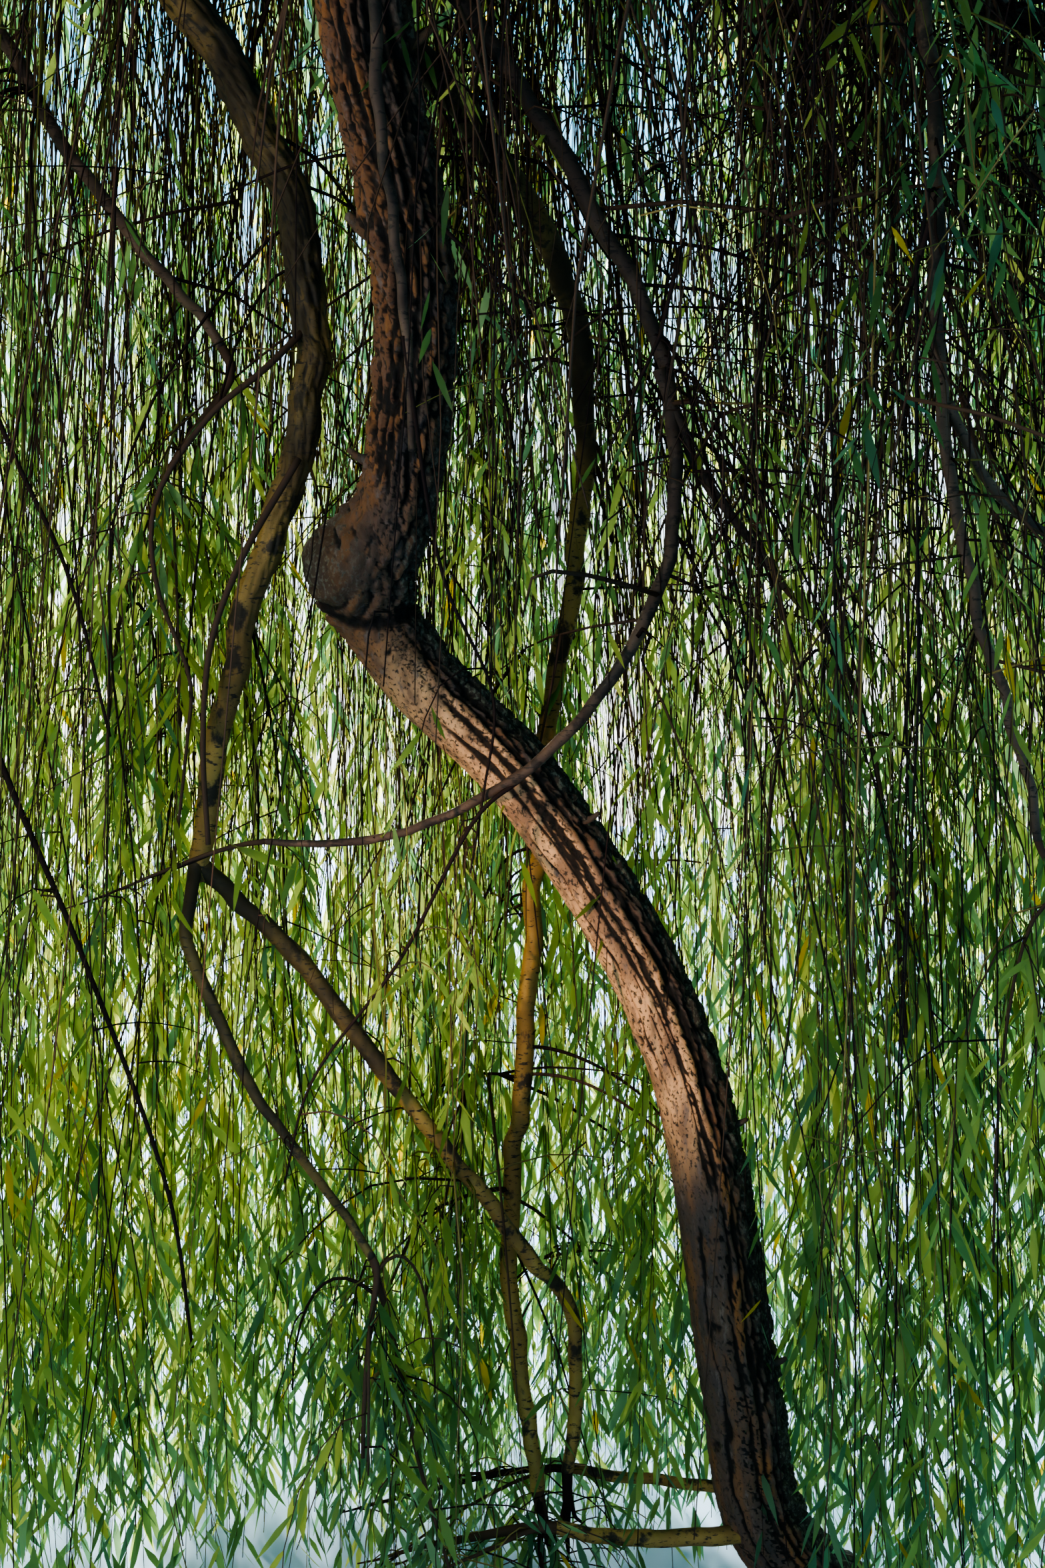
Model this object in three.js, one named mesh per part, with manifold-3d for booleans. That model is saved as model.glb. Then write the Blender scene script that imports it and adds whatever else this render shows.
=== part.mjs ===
// A weeping willow with a leaning, kneed trunk, arching boughs and a skirt of hanging foliage.
// Millimetres, +Z up. The origin is the middle of the flat cut where the trunk leaves the ground.
import * as THREE from "three";
import { mergeVertices } from "three/addons/utils/BufferGeometryUtils.js";
import Module from "manifold-3d";

const wasm = await Module();
wasm.setup();

// Crown: a dome on a skirt, round an upright axis that stands beside the foot of the leaning trunk.
const CROWN_X = -880;
const CROWN_Y = -1250;
const CROWN_RADIUS = 2900;
const CROWN_TOP = 5400;
const DOME_FOOT = 3000;
const CURTAIN_INNER = 2150;
const CURTAIN_COUNT = 10;
const HEM_LOW = 150;
const HEM_HIGH = 650;

// Boughs that carry the curtains, and the shorter ones that carry the dome.
const CURTAIN_BOUGH_REACH = 1750;
const CURTAIN_BOUGH_TIP = 4350;
const CURTAIN_BOUGH_ROOTS = [3420, 4250];
const CURTAIN_BOUGH_RADII = [36, 17];
const DOME_COUNT = 5;
const DOME_BOUGH_REACH = 600;
const DOME_BOUGH_TIP = 4950;
const DOME_BOUGH_ROOTS = [4300, 4500];
const DOME_BOUGH_RADII = [22, 14];
const DOME_INNER = 500;
const DOME_OUTER = 1680;
const DOME_FLOOR = 3950;
const TUFT_FLOOR = 4680;

// Leaves: each stands for a spray of real ones. Those inside the skirt are smaller.
const LEAF = { length: 800, width: 235, thickness: 14 };
const SMALL_LEAF = { length: 400, width: 130, thickness: 10 };
const LEAF_WIDEST = 0.38;
const LEAF_SPLAY = 0.45;
const LEAF_DROOP = 0.5;
const LEAF_ROOT_DEPTH = 3;
const LEAF_TURNS = 4;
const LEAF_RETRY_TURN = 1.7;
const TWIG_TRIES = 4;
const TWIG_RADIUS = 10;
const TWIG_TAPER = 0.75;
const GOLDEN_TURN = 2.4;

// Sides and steps of the round pieces: more where they are thick.
const TRUNK_SIDES = 12;
const TRUNK_STEPS = 40;
const THICK_LIMB = 24;
const THICK_SIDES = 7;
const THIN_SIDES = 5;
const STEPS_PER_POINT = 2;
const CURTAIN_BOUGH_STEPS = 6;
const DOME_BOUGH_STEPS = 4;
const STEM_STEPS = 6;
const TWIG_SIDES = 3;
const TWIG_STEPS = 3;

// How each kind of mass is made: its stem bows over and ends at a distance from the crown's axis and a height,
// and its twigs spread sideways from the stem and hang down by a drop, or to the hem.
const CURTAIN_RULE = {
  twigs: 5,
  leaves: 4,
  over: [2380, 4330],
  end: [2560, 3300],
  spread: 700,
  outward: [330, -60],
};
const CURTAIN_JITTER = 260;
const DOME_RULE = { twigs: 5, leaves: 2, over: [900, 5130], end: [1350, 4800], spread: 620, drop: 650 };
const TUFT_RULE = { twigs: 6, leaves: 1, spread: 270, drop: 60 };
const INNER_RULE = { twigs: 4, leaves: 2, spread: [0.25, 0.6], drop: 600, leastDrop: 120 };

// Clearance between solids that touch, and between neighbouring masses.
const SEAT_GAP = 0.35;
const MASS_GAP = 25;
const LIMB_GAP = 2;

// The size below which an edge that a cut or join leaves is closed up, on a seat and in a mass.
const SEAT_SLIVER = 0.01;
const MASS_SLIVER = 0.1;

// Root flare of the trunk: how far it swells at the ground, and how fast it dies away upwards.
const FLARE_SWELL = 42;
const FLARE_HEIGHT = 62;
const FLARE_ROOTS = 4;
const FLARE_TOWARD = 0.2;

// Collar: the healed swelling on the left of the knee, where a limb was lost.
const COLLAR_HEIGHT = 2175;
const COLLAR_SPREAD = 62;
const COLLAR_SWELL = 64;
const COLLAR_TOWARD = 3.5;

// Trunk centre line with its radius, as [x, y, z, radius]: foot, lean, knee, leader and fork.
const TRUNK = [
  [75, 10, -110, 66],
  [-135, -10, 170, 88],
  [-192, -32, 480, 87],
  [-330, -100, 1200, 78],
  [-640, -180, 1740, 75],
  [-890, -235, 2000, 79],
  [-950, -290, 2130, 84],
  [-885, -420, 2330, 77],
  [-850, -600, 2640, 76],
  [-920, -820, 3030, 77],
  [-960, -1000, 3600, 64],
  [-890, -1240, 4600, 40],
];

// Limbs below the dome, each as the limb that carries it and its centre line in the same form.
const LOW_LIMBS = {
  left_bough: {
    on: "trunk",
    line: [
      [-945, -920, 3360, 46],
      [-1130, -880, 3640, 45],
      [-1360, -760, 3800, 43],
      [-1530, -620, 3780, 42],
    ],
  },
  left_bough_fall: {
    on: "left_bough",
    line: [
      [-1530, -620, 3780, 42],
      [-1470, -500, 3480, 40],
      [-1220, -420, 3120, 39],
      [-1070, -380, 2740, 38],
      [-1080, -340, 2430, 33],
      [-1190, -300, 2110, 28],
      [-1310, -250, 1560, 20],
    ],
  },
  left_inner_fork: {
    on: "left_bough_fall",
    line: [
      [-1306, -252, 1590, 17],
      [-1120, -200, 1380, 18],
      [-750, -100, 890, 17],
      [-560, 10, 600, 15],
      [-560, 30, 250, 14],
    ],
  },
  left_outer_fork: {
    on: "left_bough_fall",
    line: [
      [-1304, -254, 1620, 13],
      [-1310, -320, 1420, 13],
      [-1170, -340, 1150, 11],
      [-950, -340, 830, 8],
    ],
  },
  left_hanging_branch: {
    on: "left_bough",
    line: [
      [-1400, -745, 3800, 19],
      [-1620, -750, 3740, 18],
      [-1740, -560, 3480, 17],
      [-1600, -320, 3080, 14],
      [-1250, -300, 2610, 10],
    ],
  },
  middle_bough: {
    on: "trunk",
    line: [
      [-880, -770, 3000, 26],
      [-760, -550, 2960, 26],
      [-620, -300, 2840, 26],
      [-540, -60, 2660, 25],
    ],
  },
  middle_bough_fall: {
    on: "middle_bough",
    line: [
      [-540, -60, 2660, 25],
      [-530, 80, 2420, 22],
      [-590, 165, 1900, 21],
      [-640, 180, 1300, 21],
      [-685, 120, 560, 20],
      [-625, 25, 210, 17],
    ],
  },
  front_bough: {
    on: "trunk",
    line: [
      [-930, -880, 3200, 17],
      [-760, -750, 3060, 15],
      [-560, -630, 2810, 15],
      [-400, -500, 2500, 14],
      [-370, -470, 2240, 13],
    ],
  },
  front_bough_fall: {
    on: "front_bough",
    line: [
      [-370, -470, 2240, 13],
      [-450, -450, 2000, 12],
      [-660, -425, 1760, 10],
      [-900, -405, 1650, 8],
      [-1150, -380, 1640, 6],
    ],
  },
  front_bough_fork: {
    on: "front_bough",
    line: [[-408, -508, 2510, 10], [-330, -450, 2340, 10], [-150, -350, 2130, 7]],
  },
  front_stem: {
    on: "trunk",
    line: [
      [-945, -960, 3420, 13],
      [-905, -1010, 3200, 11],
      [-885, -925, 2870, 10],
      [-858, -750, 2500, 8],
      [-850, -650, 2330, 7],
    ],
  },
  right_low_bough: {
    on: "trunk",
    line: [[-945, -940, 3300, 34], [-560, -880, 3340, 28], [60, -730, 3090, 23], [560, -680, 2900, 18]],
  },
  right_stem: {
    on: "right_low_bough",
    line: [
      [-110, -770, 3175, 14],
      [-70, -960, 3050, 13],
      [-35, -1000, 2700, 12],
      [0, -965, 2240, 10],
      [170, -850, 1660, 7],
    ],
  },
  right_stem_fork: {
    on: "right_stem",
    line: [[-8, -972, 2330, 8], [80, -890, 2210, 8], [320, -700, 2120, 7]],
  },
  base_limb_low: {
    on: "trunk",
    line: [[-120, -40, 150, 19], [-420, -80, 160, 17], [-585, -80, 180, 15]],
  },
  base_limb_high: {
    on: "trunk",
    line: [[-150, 0, 215, 13], [-410, 95, 210, 12], [-545, 95, 225, 10]],
  },
};

// Masses inside the skirt: the limb whose tip carries each, and its round space from top to bottom.
const INNER_MASSES = {
  left_inner_mass: { on: "left_outer_fork", x: -960, y: -420, radius: 400, top: 900, bottom: 130 },
  right_inner_mass: { on: "front_bough_fork", x: 90, y: -330, radius: 300, top: 2180, bottom: 500 },
  upper_left_mass: { on: "left_hanging_branch", x: -1520, y: -130, radius: 330, top: 2660, bottom: 1250 },
  right_hanging_mass: { on: "right_stem", x: 300, y: -900, radius: 330, top: 1720, bottom: 250 },
  right_side_mass: { on: "right_low_bough", x: 780, y: -720, radius: 380, top: 2960, bottom: 1100 },
};

const BARK = new THREE.MeshStandardMaterial({ color: 0x6b5443, roughness: 0.95 });
const YOUNG_BARK = new THREE.MeshStandardMaterial({ color: 0x77703c, roughness: 0.85 });
const FOLIAGE = new THREE.MeshStandardMaterial({ color: 0x5c8a2c, roughness: 0.6 });

const UP = new THREE.Vector3(0, 0, 1);

// A repeatable stream of numbers from 0 to 1.
function randomStream(seed) {
  let state = seed >>> 0;
  return () => {
    state = (state + 0x6d2b79f5) >>> 0;
    let mixed = Math.imul(state ^ (state >>> 15), 1 | state);
    mixed = (mixed + Math.imul(mixed ^ (mixed >>> 7), 61 | mixed)) ^ mixed;
    return ((mixed ^ (mixed >>> 14)) >>> 0) / 4294967296;
  };
}

// The closed solid of a three.js geometry.
function solidOf(geometry) {
  const bare = geometry.index ? geometry.toNonIndexed() : geometry.clone();
  bare.deleteAttribute("normal");
  bare.deleteAttribute("uv");
  const merged = mergeVertices(bare, 1e-4);
  return new wasm.Manifold(
    new wasm.Mesh({
      numProp: 3,
      vertProperties: merged.attributes.position.array,
      triVerts: new Uint32Array(merged.index.array),
    }),
  );
}

// The three.js geometry of a solid.
function geometryOf(solid) {
  const mesh = solid.getMesh();
  return new THREE.BufferGeometry()
    .setAttribute("position", new THREE.BufferAttribute(new Float32Array(mesh.vertProperties), 3))
    .setIndex(new THREE.BufferAttribute(new Uint32Array(mesh.triVerts), 1));
}

// A cut or join can leave slivers and scraps, or seal a hollow: only the largest outer body is kept, without slivers.
function largestBody(solid, sliver) {
  const bodies = solid.simplify(sliver).decompose();
  return bodies.reduce((best, body) => (body.volume() > best.volume() ? body : best));
}

// A centre line with a radius all along it, from points of the form [x, y, z, radius].
function lineThrough(points) {
  const curve = new THREE.CatmullRomCurve3(points.map(([x, y, z]) => new THREE.Vector3(x, y, z)));
  const radiusAt = (t) => {
    const place = Math.min(t, 1) * (points.length - 1);
    const before = Math.min(Math.floor(place), points.length - 2);
    return THREE.MathUtils.lerp(points[before][3], points[before + 1][3], place - before);
  };
  const tipRadius = points.at(-1)[3];
  return { curve, radiusAt, tip: curve.getPoint(1), tipDirection: curve.getTangent(1), tipRadius };
}

// Cross-sections along a centre line, turned as little as possible from one to the next.
function ringsAlong(curve, steps) {
  const rings = [];
  let side = new THREE.Vector3(0, 1, 0);
  for (let i = 0; i <= steps; i++) {
    const at = curve.getPoint(i / steps);
    const along = curve.getTangent(i / steps);
    side = side.clone().addScaledVector(along, -side.dot(along)).normalize();
    rings.push({ at, along, side, across: side.clone().cross(along) });
  }
  return rings;
}

// The centre line of a bent cylinder as it is built: straight from each ring to the next.
function chordsOf(curve, steps) {
  const points = Array.from({ length: steps + 1 }, (_, i) => curve.getPoint(i / steps));
  const stepAt = (t) => Math.min(Math.floor(t * steps), steps - 1);
  return {
    pointAt: (t) => points[stepAt(t)].clone().lerp(points[stepAt(t) + 1], t * steps - stepAt(t)),
    directionAt: (t) => points[stepAt(t) + 1].clone().sub(points[stepAt(t)]).normalize(),
  };
}

// A round limb: a cylinder bent along its centre line. grow makes it fatter and longer all round.
function bentCylinder(line, sides, steps, grow = 0, swell = () => 0) {
  const geometry = new THREE.CylinderGeometry(1, 1, 1, sides, steps);
  const rings = ringsAlong(line.curve, steps);
  const position = geometry.attributes.position;
  const point = new THREE.Vector3();
  for (let i = 0; i < position.count; i++) {
    const step = Math.round((position.getY(i) + 0.5) * steps);
    const ring = rings[step];
    const [x, z] = [position.getX(i), position.getZ(i)];
    const outward = ring.side.clone().multiplyScalar(x).addScaledVector(ring.across, z);
    const end = step === 0 ? -grow : step === steps ? grow : 0;
    const radius = line.radiusAt(step / steps) + grow + swell(ring.at, outward);
    point.copy(ring.at).addScaledVector(ring.along, end).addScaledVector(outward, radius);
    position.setXYZ(i, point.x, point.y, point.z);
  }
  return solidOf(geometry);
}

// Root flare in a few buttresses, strongest away from the lean, and the collar at the knee.
function trunkSwell(at, outward) {
  const heading = Math.atan2(outward.y, outward.x);
  const turn = heading - FLARE_TOWARD;
  const lobes = 0.62 + 0.2 * Math.cos(turn) + 0.18 * Math.cos(FLARE_ROOTS * turn);
  const flare = FLARE_SWELL * lobes * Math.exp(-Math.max(at.z, 0) / FLARE_HEIGHT);
  const facing = Math.max(0, Math.cos(heading - COLLAR_TOWARD)) ** 2;
  const collar = COLLAR_SWELL * facing * Math.exp(-(((at.z - COLLAR_HEIGHT) / COLLAR_SPREAD) ** 2));
  return outward.lengthSq() > 0 ? flare + collar : 0;
}

function trunkSolid(grow = 0) {
  const ground = new THREE.BoxGeometry(2000, 2000, 1000).translate(0, 0, -500);
  const whole = bentCylinder(lineThrough(TRUNK), TRUNK_SIDES, TRUNK_STEPS, grow, trunkSwell);
  return whole.subtract(solidOf(ground));
}

// The point of the trunk's centre line at a height.
function trunkPointAt(height) {
  const curve = lineThrough(TRUNK).curve;
  let [low, high] = [0, 1];
  for (let i = 0; i < 30; i++) {
    const middle = (low + high) / 2;
    [low, high] = curve.getPoint(middle).z < height ? [middle, high] : [low, middle];
  }
  return curve.getPoint(low);
}

// A direction on the ground plan at an azimuth from +X, and a place at that azimuth round the crown's axis.
function heading(azimuth) {
  return new THREE.Vector3(Math.cos(azimuth), Math.sin(azimuth), 0);
}

function crownPlace(azimuth, reach, height) {
  return new THREE.Vector3(CROWN_X, CROWN_Y, height).addScaledVector(heading(azimuth), reach);
}

// A bough of the crown: it leaves the trunk rising, and levels out at its tip.
function crownBoughLine(rootHeight, tip, radii) {
  const root = trunkPointAt(rootHeight);
  return [0, 0.3, 0.65, 1].map((share) => {
    const at = root.clone().lerp(tip, share);
    const height = THREE.MathUtils.lerp(root.z, tip.z, Math.sin((share * Math.PI) / 2));
    return [at.x, at.y, height, THREE.MathUtils.lerp(...radii, share)];
  });
}

function curtainAzimuth(index) {
  return ((index + 0.5) / CURTAIN_COUNT) * 2 * Math.PI;
}

function domeAzimuth(index) {
  return ((index + 0.25) / DOME_COUNT) * 2 * Math.PI;
}

// A share from 0 to 1 for each of a row of boughs, so that neighbours leave the trunk at different heights.
function scatteredShare(index, count, stride) {
  return ((index * stride) % count) / (count - 1);
}

// Every limb of the tree with its carrier, sides and steps.
function allLimbs() {
  const limbs = {};
  for (const [name, { on, line }] of Object.entries(LOW_LIMBS)) {
    const isThick = line[0][3] > THICK_LIMB;
    const sides = isThick ? THICK_SIDES : THIN_SIDES;
    const steps = STEPS_PER_POINT * line.length;
    limbs[name] = { on, line: lineThrough(line), sides, steps, isYoung: !isThick };
  }
  for (let i = 0; i < CURTAIN_COUNT; i++) {
    const root = THREE.MathUtils.lerp(...CURTAIN_BOUGH_ROOTS, scatteredShare(i, CURTAIN_COUNT, 3));
    const tip = crownPlace(curtainAzimuth(i), CURTAIN_BOUGH_REACH, CURTAIN_BOUGH_TIP);
    const line = lineThrough(crownBoughLine(root, tip, CURTAIN_BOUGH_RADII));
    limbs[`curtain_bough_${i + 1}`] = { on: "trunk", line, sides: THIN_SIDES, steps: CURTAIN_BOUGH_STEPS };
  }
  for (let i = 0; i < DOME_COUNT; i++) {
    const root = THREE.MathUtils.lerp(...DOME_BOUGH_ROOTS, scatteredShare(i, DOME_COUNT, 2));
    const tip = crownPlace(domeAzimuth(i), DOME_BOUGH_REACH, DOME_BOUGH_TIP);
    const line = lineThrough(crownBoughLine(root, tip, DOME_BOUGH_RADII));
    limbs[`dome_bough_${i + 1}`] = { on: "trunk", line, sides: THIN_SIDES, steps: DOME_BOUGH_STEPS };
  }
  return limbs;
}

// How far out the crown reaches at a height: a skirt, and a dome above it.
function crownReach(height) {
  const rise = Math.max(0, (height - DOME_FOOT) / (CROWN_TOP - DOME_FOOT));
  return CROWN_RADIUS * Math.sqrt(Math.max(0, 1 - rise * rise));
}

// Whether a point lies in a wedge of the crown, between two distances from its axis.
function inWedge(point, azimuth, halfAngle, innerAt, outerAt, floor) {
  const [x, y] = [point.x - CROWN_X, point.y - CROWN_Y];
  const reach = Math.hypot(x, y);
  const turn = Math.atan2(Math.sin(Math.atan2(y, x) - azimuth), Math.cos(Math.atan2(y, x) - azimuth));
  const sideways = reach * Math.sin(halfAngle - Math.abs(turn));
  const within = reach > innerAt(point.z) && reach < outerAt(point.z) && point.z > floor;
  return within && Math.abs(turn) < halfAngle && sideways > MASS_GAP;
}

// A hanging twig: it leaves the stem sideways and upwards, bows over, and falls to its lowest point.
function twigCurve(root, away, low, rise) {
  const over = root.clone().addScaledVector(away, 0.6).addScaledVector(UP, rise);
  const fall = root.clone().add(away);
  const drop = root.z - low;
  const shoulder = fall.clone().setZ(root.z - 0.3 * drop);
  return new THREE.CubicBezierCurve3(root, over, shoulder, fall.setZ(low));
}

// One leaf: a flat octahedron, widest near its root, that hangs from a point in a direction.
function leafSolid({ length, width, thickness }, root, along, face, depth) {
  const geometry = new THREE.OctahedronGeometry(0.5);
  geometry.scale(width, thickness, length);
  const position = geometry.attributes.position;
  for (let i = 0; i < position.count; i++) {
    const isTipOrRoot = Math.abs(position.getZ(i)) > 1;
    position.setZ(i, isTipOrRoot ? position.getZ(i) + length / 2 : length * LEAF_WIDEST);
  }
  const side = face.clone().cross(along).normalize();
  const normal = along.clone().cross(side).normalize();
  const start = root.clone().addScaledVector(along, -depth);
  geometry.applyMatrix4(new THREE.Matrix4().makeBasis(side, normal, along).setPosition(start));
  const widest = start.clone().addScaledVector(along, length * LEAF_WIDEST);
  const edges = [-0.5, 0.5].map((share) => widest.clone().addScaledVector(side, share * width));
  return { solid: solidOf(geometry), points: [start.clone().addScaledVector(along, length), ...edges] };
}

// A mass of weeping foliage: a stem from its bough's tip, hanging twigs by turns, and leaves down each twig.
function massSolid({ stem, stemRadius, twigs, leaf, leaves, away, lowAt, inSpace, random }, touchesLimb) {
  const stemLine = { curve: stem, radiusAt: (t) => THREE.MathUtils.lerp(stemRadius, TWIG_RADIUS, t) };
  const stemChords = chordsOf(stem, STEM_STEPS);
  const radiusAt = (t) => THREE.MathUtils.lerp(TWIG_RADIUS, TWIG_RADIUS * TWIG_TAPER, t);
  const pieces = [bentCylinder(stemLine, THIN_SIDES, STEM_STEPS)];
  const isFree = ({ points, solid }) =>
    points.every(inSpace) && !touches(solid, pieces) && !touchesLimb(solid);
  for (let k = 0; k < twigs; k++) {
    const share = 0.1 + (0.88 * (k + 0.5)) / twigs;
    const root = stemChords.pointAt(share);
    for (let attempt = 0; attempt < TWIG_TRIES; attempt++) {
      const curve = twigCurve(root, away(k, share), lowAt(root), 50 + 70 * random());
      const twig = bentCylinder({ curve, radiusAt }, TWIG_SIDES, TWIG_STEPS);
      const route = [0.25, 0.5, 0.75, 1].map((t) => curve.getPoint(t));
      if (!route.every(inSpace) || touchesLimb(twig)) continue;
      pieces.push(twig, ...twigLeaves(chordsOf(curve, TWIG_STEPS), leaf, leaves, isFree, random));
      break;
    }
  }
  return largestBody(pieces.reduce((whole, piece) => whole.add(piece)), MASS_SLIVER);
}

// Leaves down a twig, by turns round it, each turned on until it is free. The last hangs from the twig's tip.
function twigLeaves({ pointAt, directionAt }, size, count, isFree, random) {
  const leaves = [];
  const start = 2 * Math.PI * random();
  for (let j = 0; j < count; j++) {
    const stagger = j < count - 1 ? 0.14 * (random() - 0.5) : 0;
    const share = count > 1 ? THREE.MathUtils.lerp(0.2, 0.97, j / (count - 1)) + stagger : 0.9;
    const tilt = 1.2 * (random() - 0.5);
    for (let turn = 0; turn < LEAF_TURNS; turn++) {
      const swing = start + j * GOLDEN_TURN + turn * LEAF_RETRY_TURN;
      const along = directionAt(share).addScaledVector(heading(swing), LEAF_SPLAY);
      along.addScaledVector(UP, -LEAF_DROOP).normalize();
      const leaf = leafSolid(size, pointAt(share), along, heading(swing + tilt), LEAF_ROOT_DEPTH);
      if (!isFree(leaf) || touches(leaf.solid, leaves)) continue;
      leaves.push(leaf.solid);
      break;
    }
  }
  return leaves;
}

// A stem that leaves a limb's tip straight on, clear of it, and bows over to a last point.
function stemFrom(limb, over, end) {
  const start = limb.tip.clone().addScaledVector(limb.tipDirection, SEAT_GAP);
  const lead = start.clone().addScaledVector(limb.tipDirection, start.distanceTo(over) * 0.6);
  return new THREE.CubicBezierCurve3(start, lead, over, end);
}

// Places to the left and right of a stem by turns, that together fill a width evenly.
function sidewaysPlace(k, count, halfWidth) {
  const order = k % 2 ? count - 1 - (k - 1) / 2 : k / 2;
  return halfWidth * ((2 * order + 1) / count - 1);
}

// The curtain of one sector: from high in the dome to the hem, outside the open space under the tree.
function curtainMass(index, limb) {
  const azimuth = curtainAzimuth(index);
  const random = randomStream(101 + index);
  const tangent = heading(azimuth + Math.PI / 2);
  const { twigs, leaves, over, end, spread, outward } = CURTAIN_RULE;
  const inner = (height) => (height > DOME_FLOOR - MASS_GAP ? DOME_OUTER + MASS_GAP : CURTAIN_INNER);
  return {
    stem: stemFrom(limb, crownPlace(azimuth, ...over), crownPlace(azimuth, ...end)),
    stemRadius: limb.tipRadius,
    twigs,
    leaf: LEAF,
    leaves,
    away: (k, share) => {
      const out = THREE.MathUtils.lerp(...outward, share) + CURTAIN_JITTER * (random() - 0.5);
      const sideways = sidewaysPlace(k, twigs, spread);
      return tangent.clone().multiplyScalar(sideways).addScaledVector(heading(azimuth), out);
    },
    lowAt: () => THREE.MathUtils.lerp(HEM_LOW, HEM_HIGH, random()) + LEAF.length,
    inSpace: (point) => inWedge(point, azimuth, Math.PI / CURTAIN_COUNT, inner, crownReach, HEM_LOW),
    random,
  };
}

// One of the masses round the top of the dome.
function domeMass(index, limb) {
  const azimuth = domeAzimuth(index);
  const random = randomStream(211 + index);
  const tangent = heading(azimuth + Math.PI / 2);
  const { twigs, leaves, over, end, spread, drop } = DOME_RULE;
  const outer = (height) => Math.min(DOME_OUTER, crownReach(height));
  return {
    stem: stemFrom(limb, crownPlace(azimuth, ...over), crownPlace(azimuth, ...end)),
    stemRadius: limb.tipRadius,
    twigs,
    leaf: LEAF,
    leaves,
    away: (k) => {
      const out = 0.2 * spread * random();
      return tangent.clone().multiplyScalar(sidewaysPlace(k, twigs, spread)).addScaledVector(heading(azimuth), out);
    },
    lowAt: (root) => Math.max(DOME_FLOOR + LEAF.length, root.z - drop),
    inSpace: (point) => inWedge(point, azimuth, Math.PI / DOME_COUNT, () => DOME_INNER, outer, DOME_FLOOR),
    random,
  };
}

// The tuft over the fork, at the very top.
function topMass(trunk) {
  const random = randomStream(307);
  const { twigs, leaves, spread, drop } = TUFT_RULE;
  const top = new THREE.Vector3(CROWN_X, CROWN_Y, CROWN_TOP - 2 * drop);
  const reach = (point) => Math.hypot(point.x - CROWN_X, point.y - CROWN_Y);
  return {
    stem: stemFrom(trunk, trunk.tip.clone().lerp(top, 0.6), top),
    stemRadius: trunk.tipRadius * 0.6,
    twigs,
    leaf: SMALL_LEAF,
    leaves,
    away: (k) => heading(k * GOLDEN_TURN).multiplyScalar(spread),
    lowAt: (root) => Math.max(TUFT_FLOOR + SMALL_LEAF.length, root.z - drop),
    inSpace: (point) => reach(point) < DOME_INNER - MASS_GAP && point.z > TUFT_FLOOR,
    random,
  };
}

// A mass inside the skirt, in an upright round space of its own.
function innerMass({ x, y, radius, top, bottom }, limb, seed) {
  const random = randomStream(seed);
  const { twigs, leaves, spread, drop, leastDrop } = INNER_RULE;
  const over = new THREE.Vector3(x, y, Math.min(top - leastDrop, limb.tip.z - leastDrop / 2));
  const end = new THREE.Vector3(x, y, THREE.MathUtils.lerp(top, bottom, 0.55));
  const reach = (point) => Math.hypot(point.x - x, point.y - y);
  return {
    stem: stemFrom(limb, limb.tip.clone().lerp(over, 0.8), end),
    stemRadius: limb.tipRadius,
    twigs,
    leaf: SMALL_LEAF,
    leaves,
    away: (k) => {
      const share = THREE.MathUtils.lerp(...spread, random());
      return heading(k * GOLDEN_TURN + random()).multiplyScalar(radius * share);
    },
    lowAt: (root) => Math.min(root.z - leastDrop, Math.max(bottom + SMALL_LEAF.length, root.z - drop)),
    inSpace: (point) => reach(point) < radius && point.z > bottom && point.z < top + leastDrop,
    random,
  };
}

// Whether a solid meets any of a list of others.
function touches(solid, others) {
  return others.some((other) => !solid.intersect(other).isEmpty());
}

function meshOf(name, solid, material) {
  const mesh = new THREE.Mesh(geometryOf(solid), material);
  mesh.name = name;
  return mesh;
}

// The rule of every mass, each from the limb whose tip carries it.
function allMasses(limbs) {
  const masses = { top_mass: topMass(lineThrough(TRUNK)) };
  for (let i = 0; i < CURTAIN_COUNT; i++) {
    masses[`curtain_mass_${i + 1}`] = curtainMass(i, limbs[`curtain_bough_${i + 1}`].line);
  }
  for (let i = 0; i < DOME_COUNT; i++) {
    masses[`dome_mass_${i + 1}`] = domeMass(i, limbs[`dome_bough_${i + 1}`].line);
  }
  Object.entries(INNER_MASSES).forEach(([name, place], i) => {
    masses[name] = innerMass(place, limbs[place.on].line, 401 + i);
  });
  return masses;
}

// The whole tree: trunk, limbs seated on their carriers, and a mass of foliage at each bough's tip.
function willow() {
  const tree = new THREE.Group();
  const limbs = allLimbs();
  const fat = { trunk: trunkSolid(SEAT_GAP) };
  const wide = [trunkSolid(LIMB_GAP)];
  tree.add(meshOf("trunk", trunkSolid(), BARK));
  for (const [name, { on, line, sides, steps, isYoung }] of Object.entries(limbs)) {
    const seated = largestBody(bentCylinder(line, sides, steps).subtract(fat[on]), SEAT_SLIVER);
    fat[name] = bentCylinder(line, sides, steps, SEAT_GAP);
    wide.push(bentCylinder(line, sides, steps, LIMB_GAP));
    tree.add(meshOf(name, seated, isYoung ? YOUNG_BARK : BARK));
  }
  const touchesLimb = (piece) => touches(piece, wide);
  for (const [name, rule] of Object.entries(allMasses(limbs))) {
    tree.add(meshOf(name, massSolid(rule, touchesLimb), FOLIAGE));
  }
  return tree;
}

export default willow();
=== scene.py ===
"""Looks of the weeping willow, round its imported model: bark with real relief on the trunk and boughs, fine
twigs and leaves that grow on from the limbs by the solids' own rule, and a plain pale studio.
Lengths are in metres and Z is up."""

import math

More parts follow.
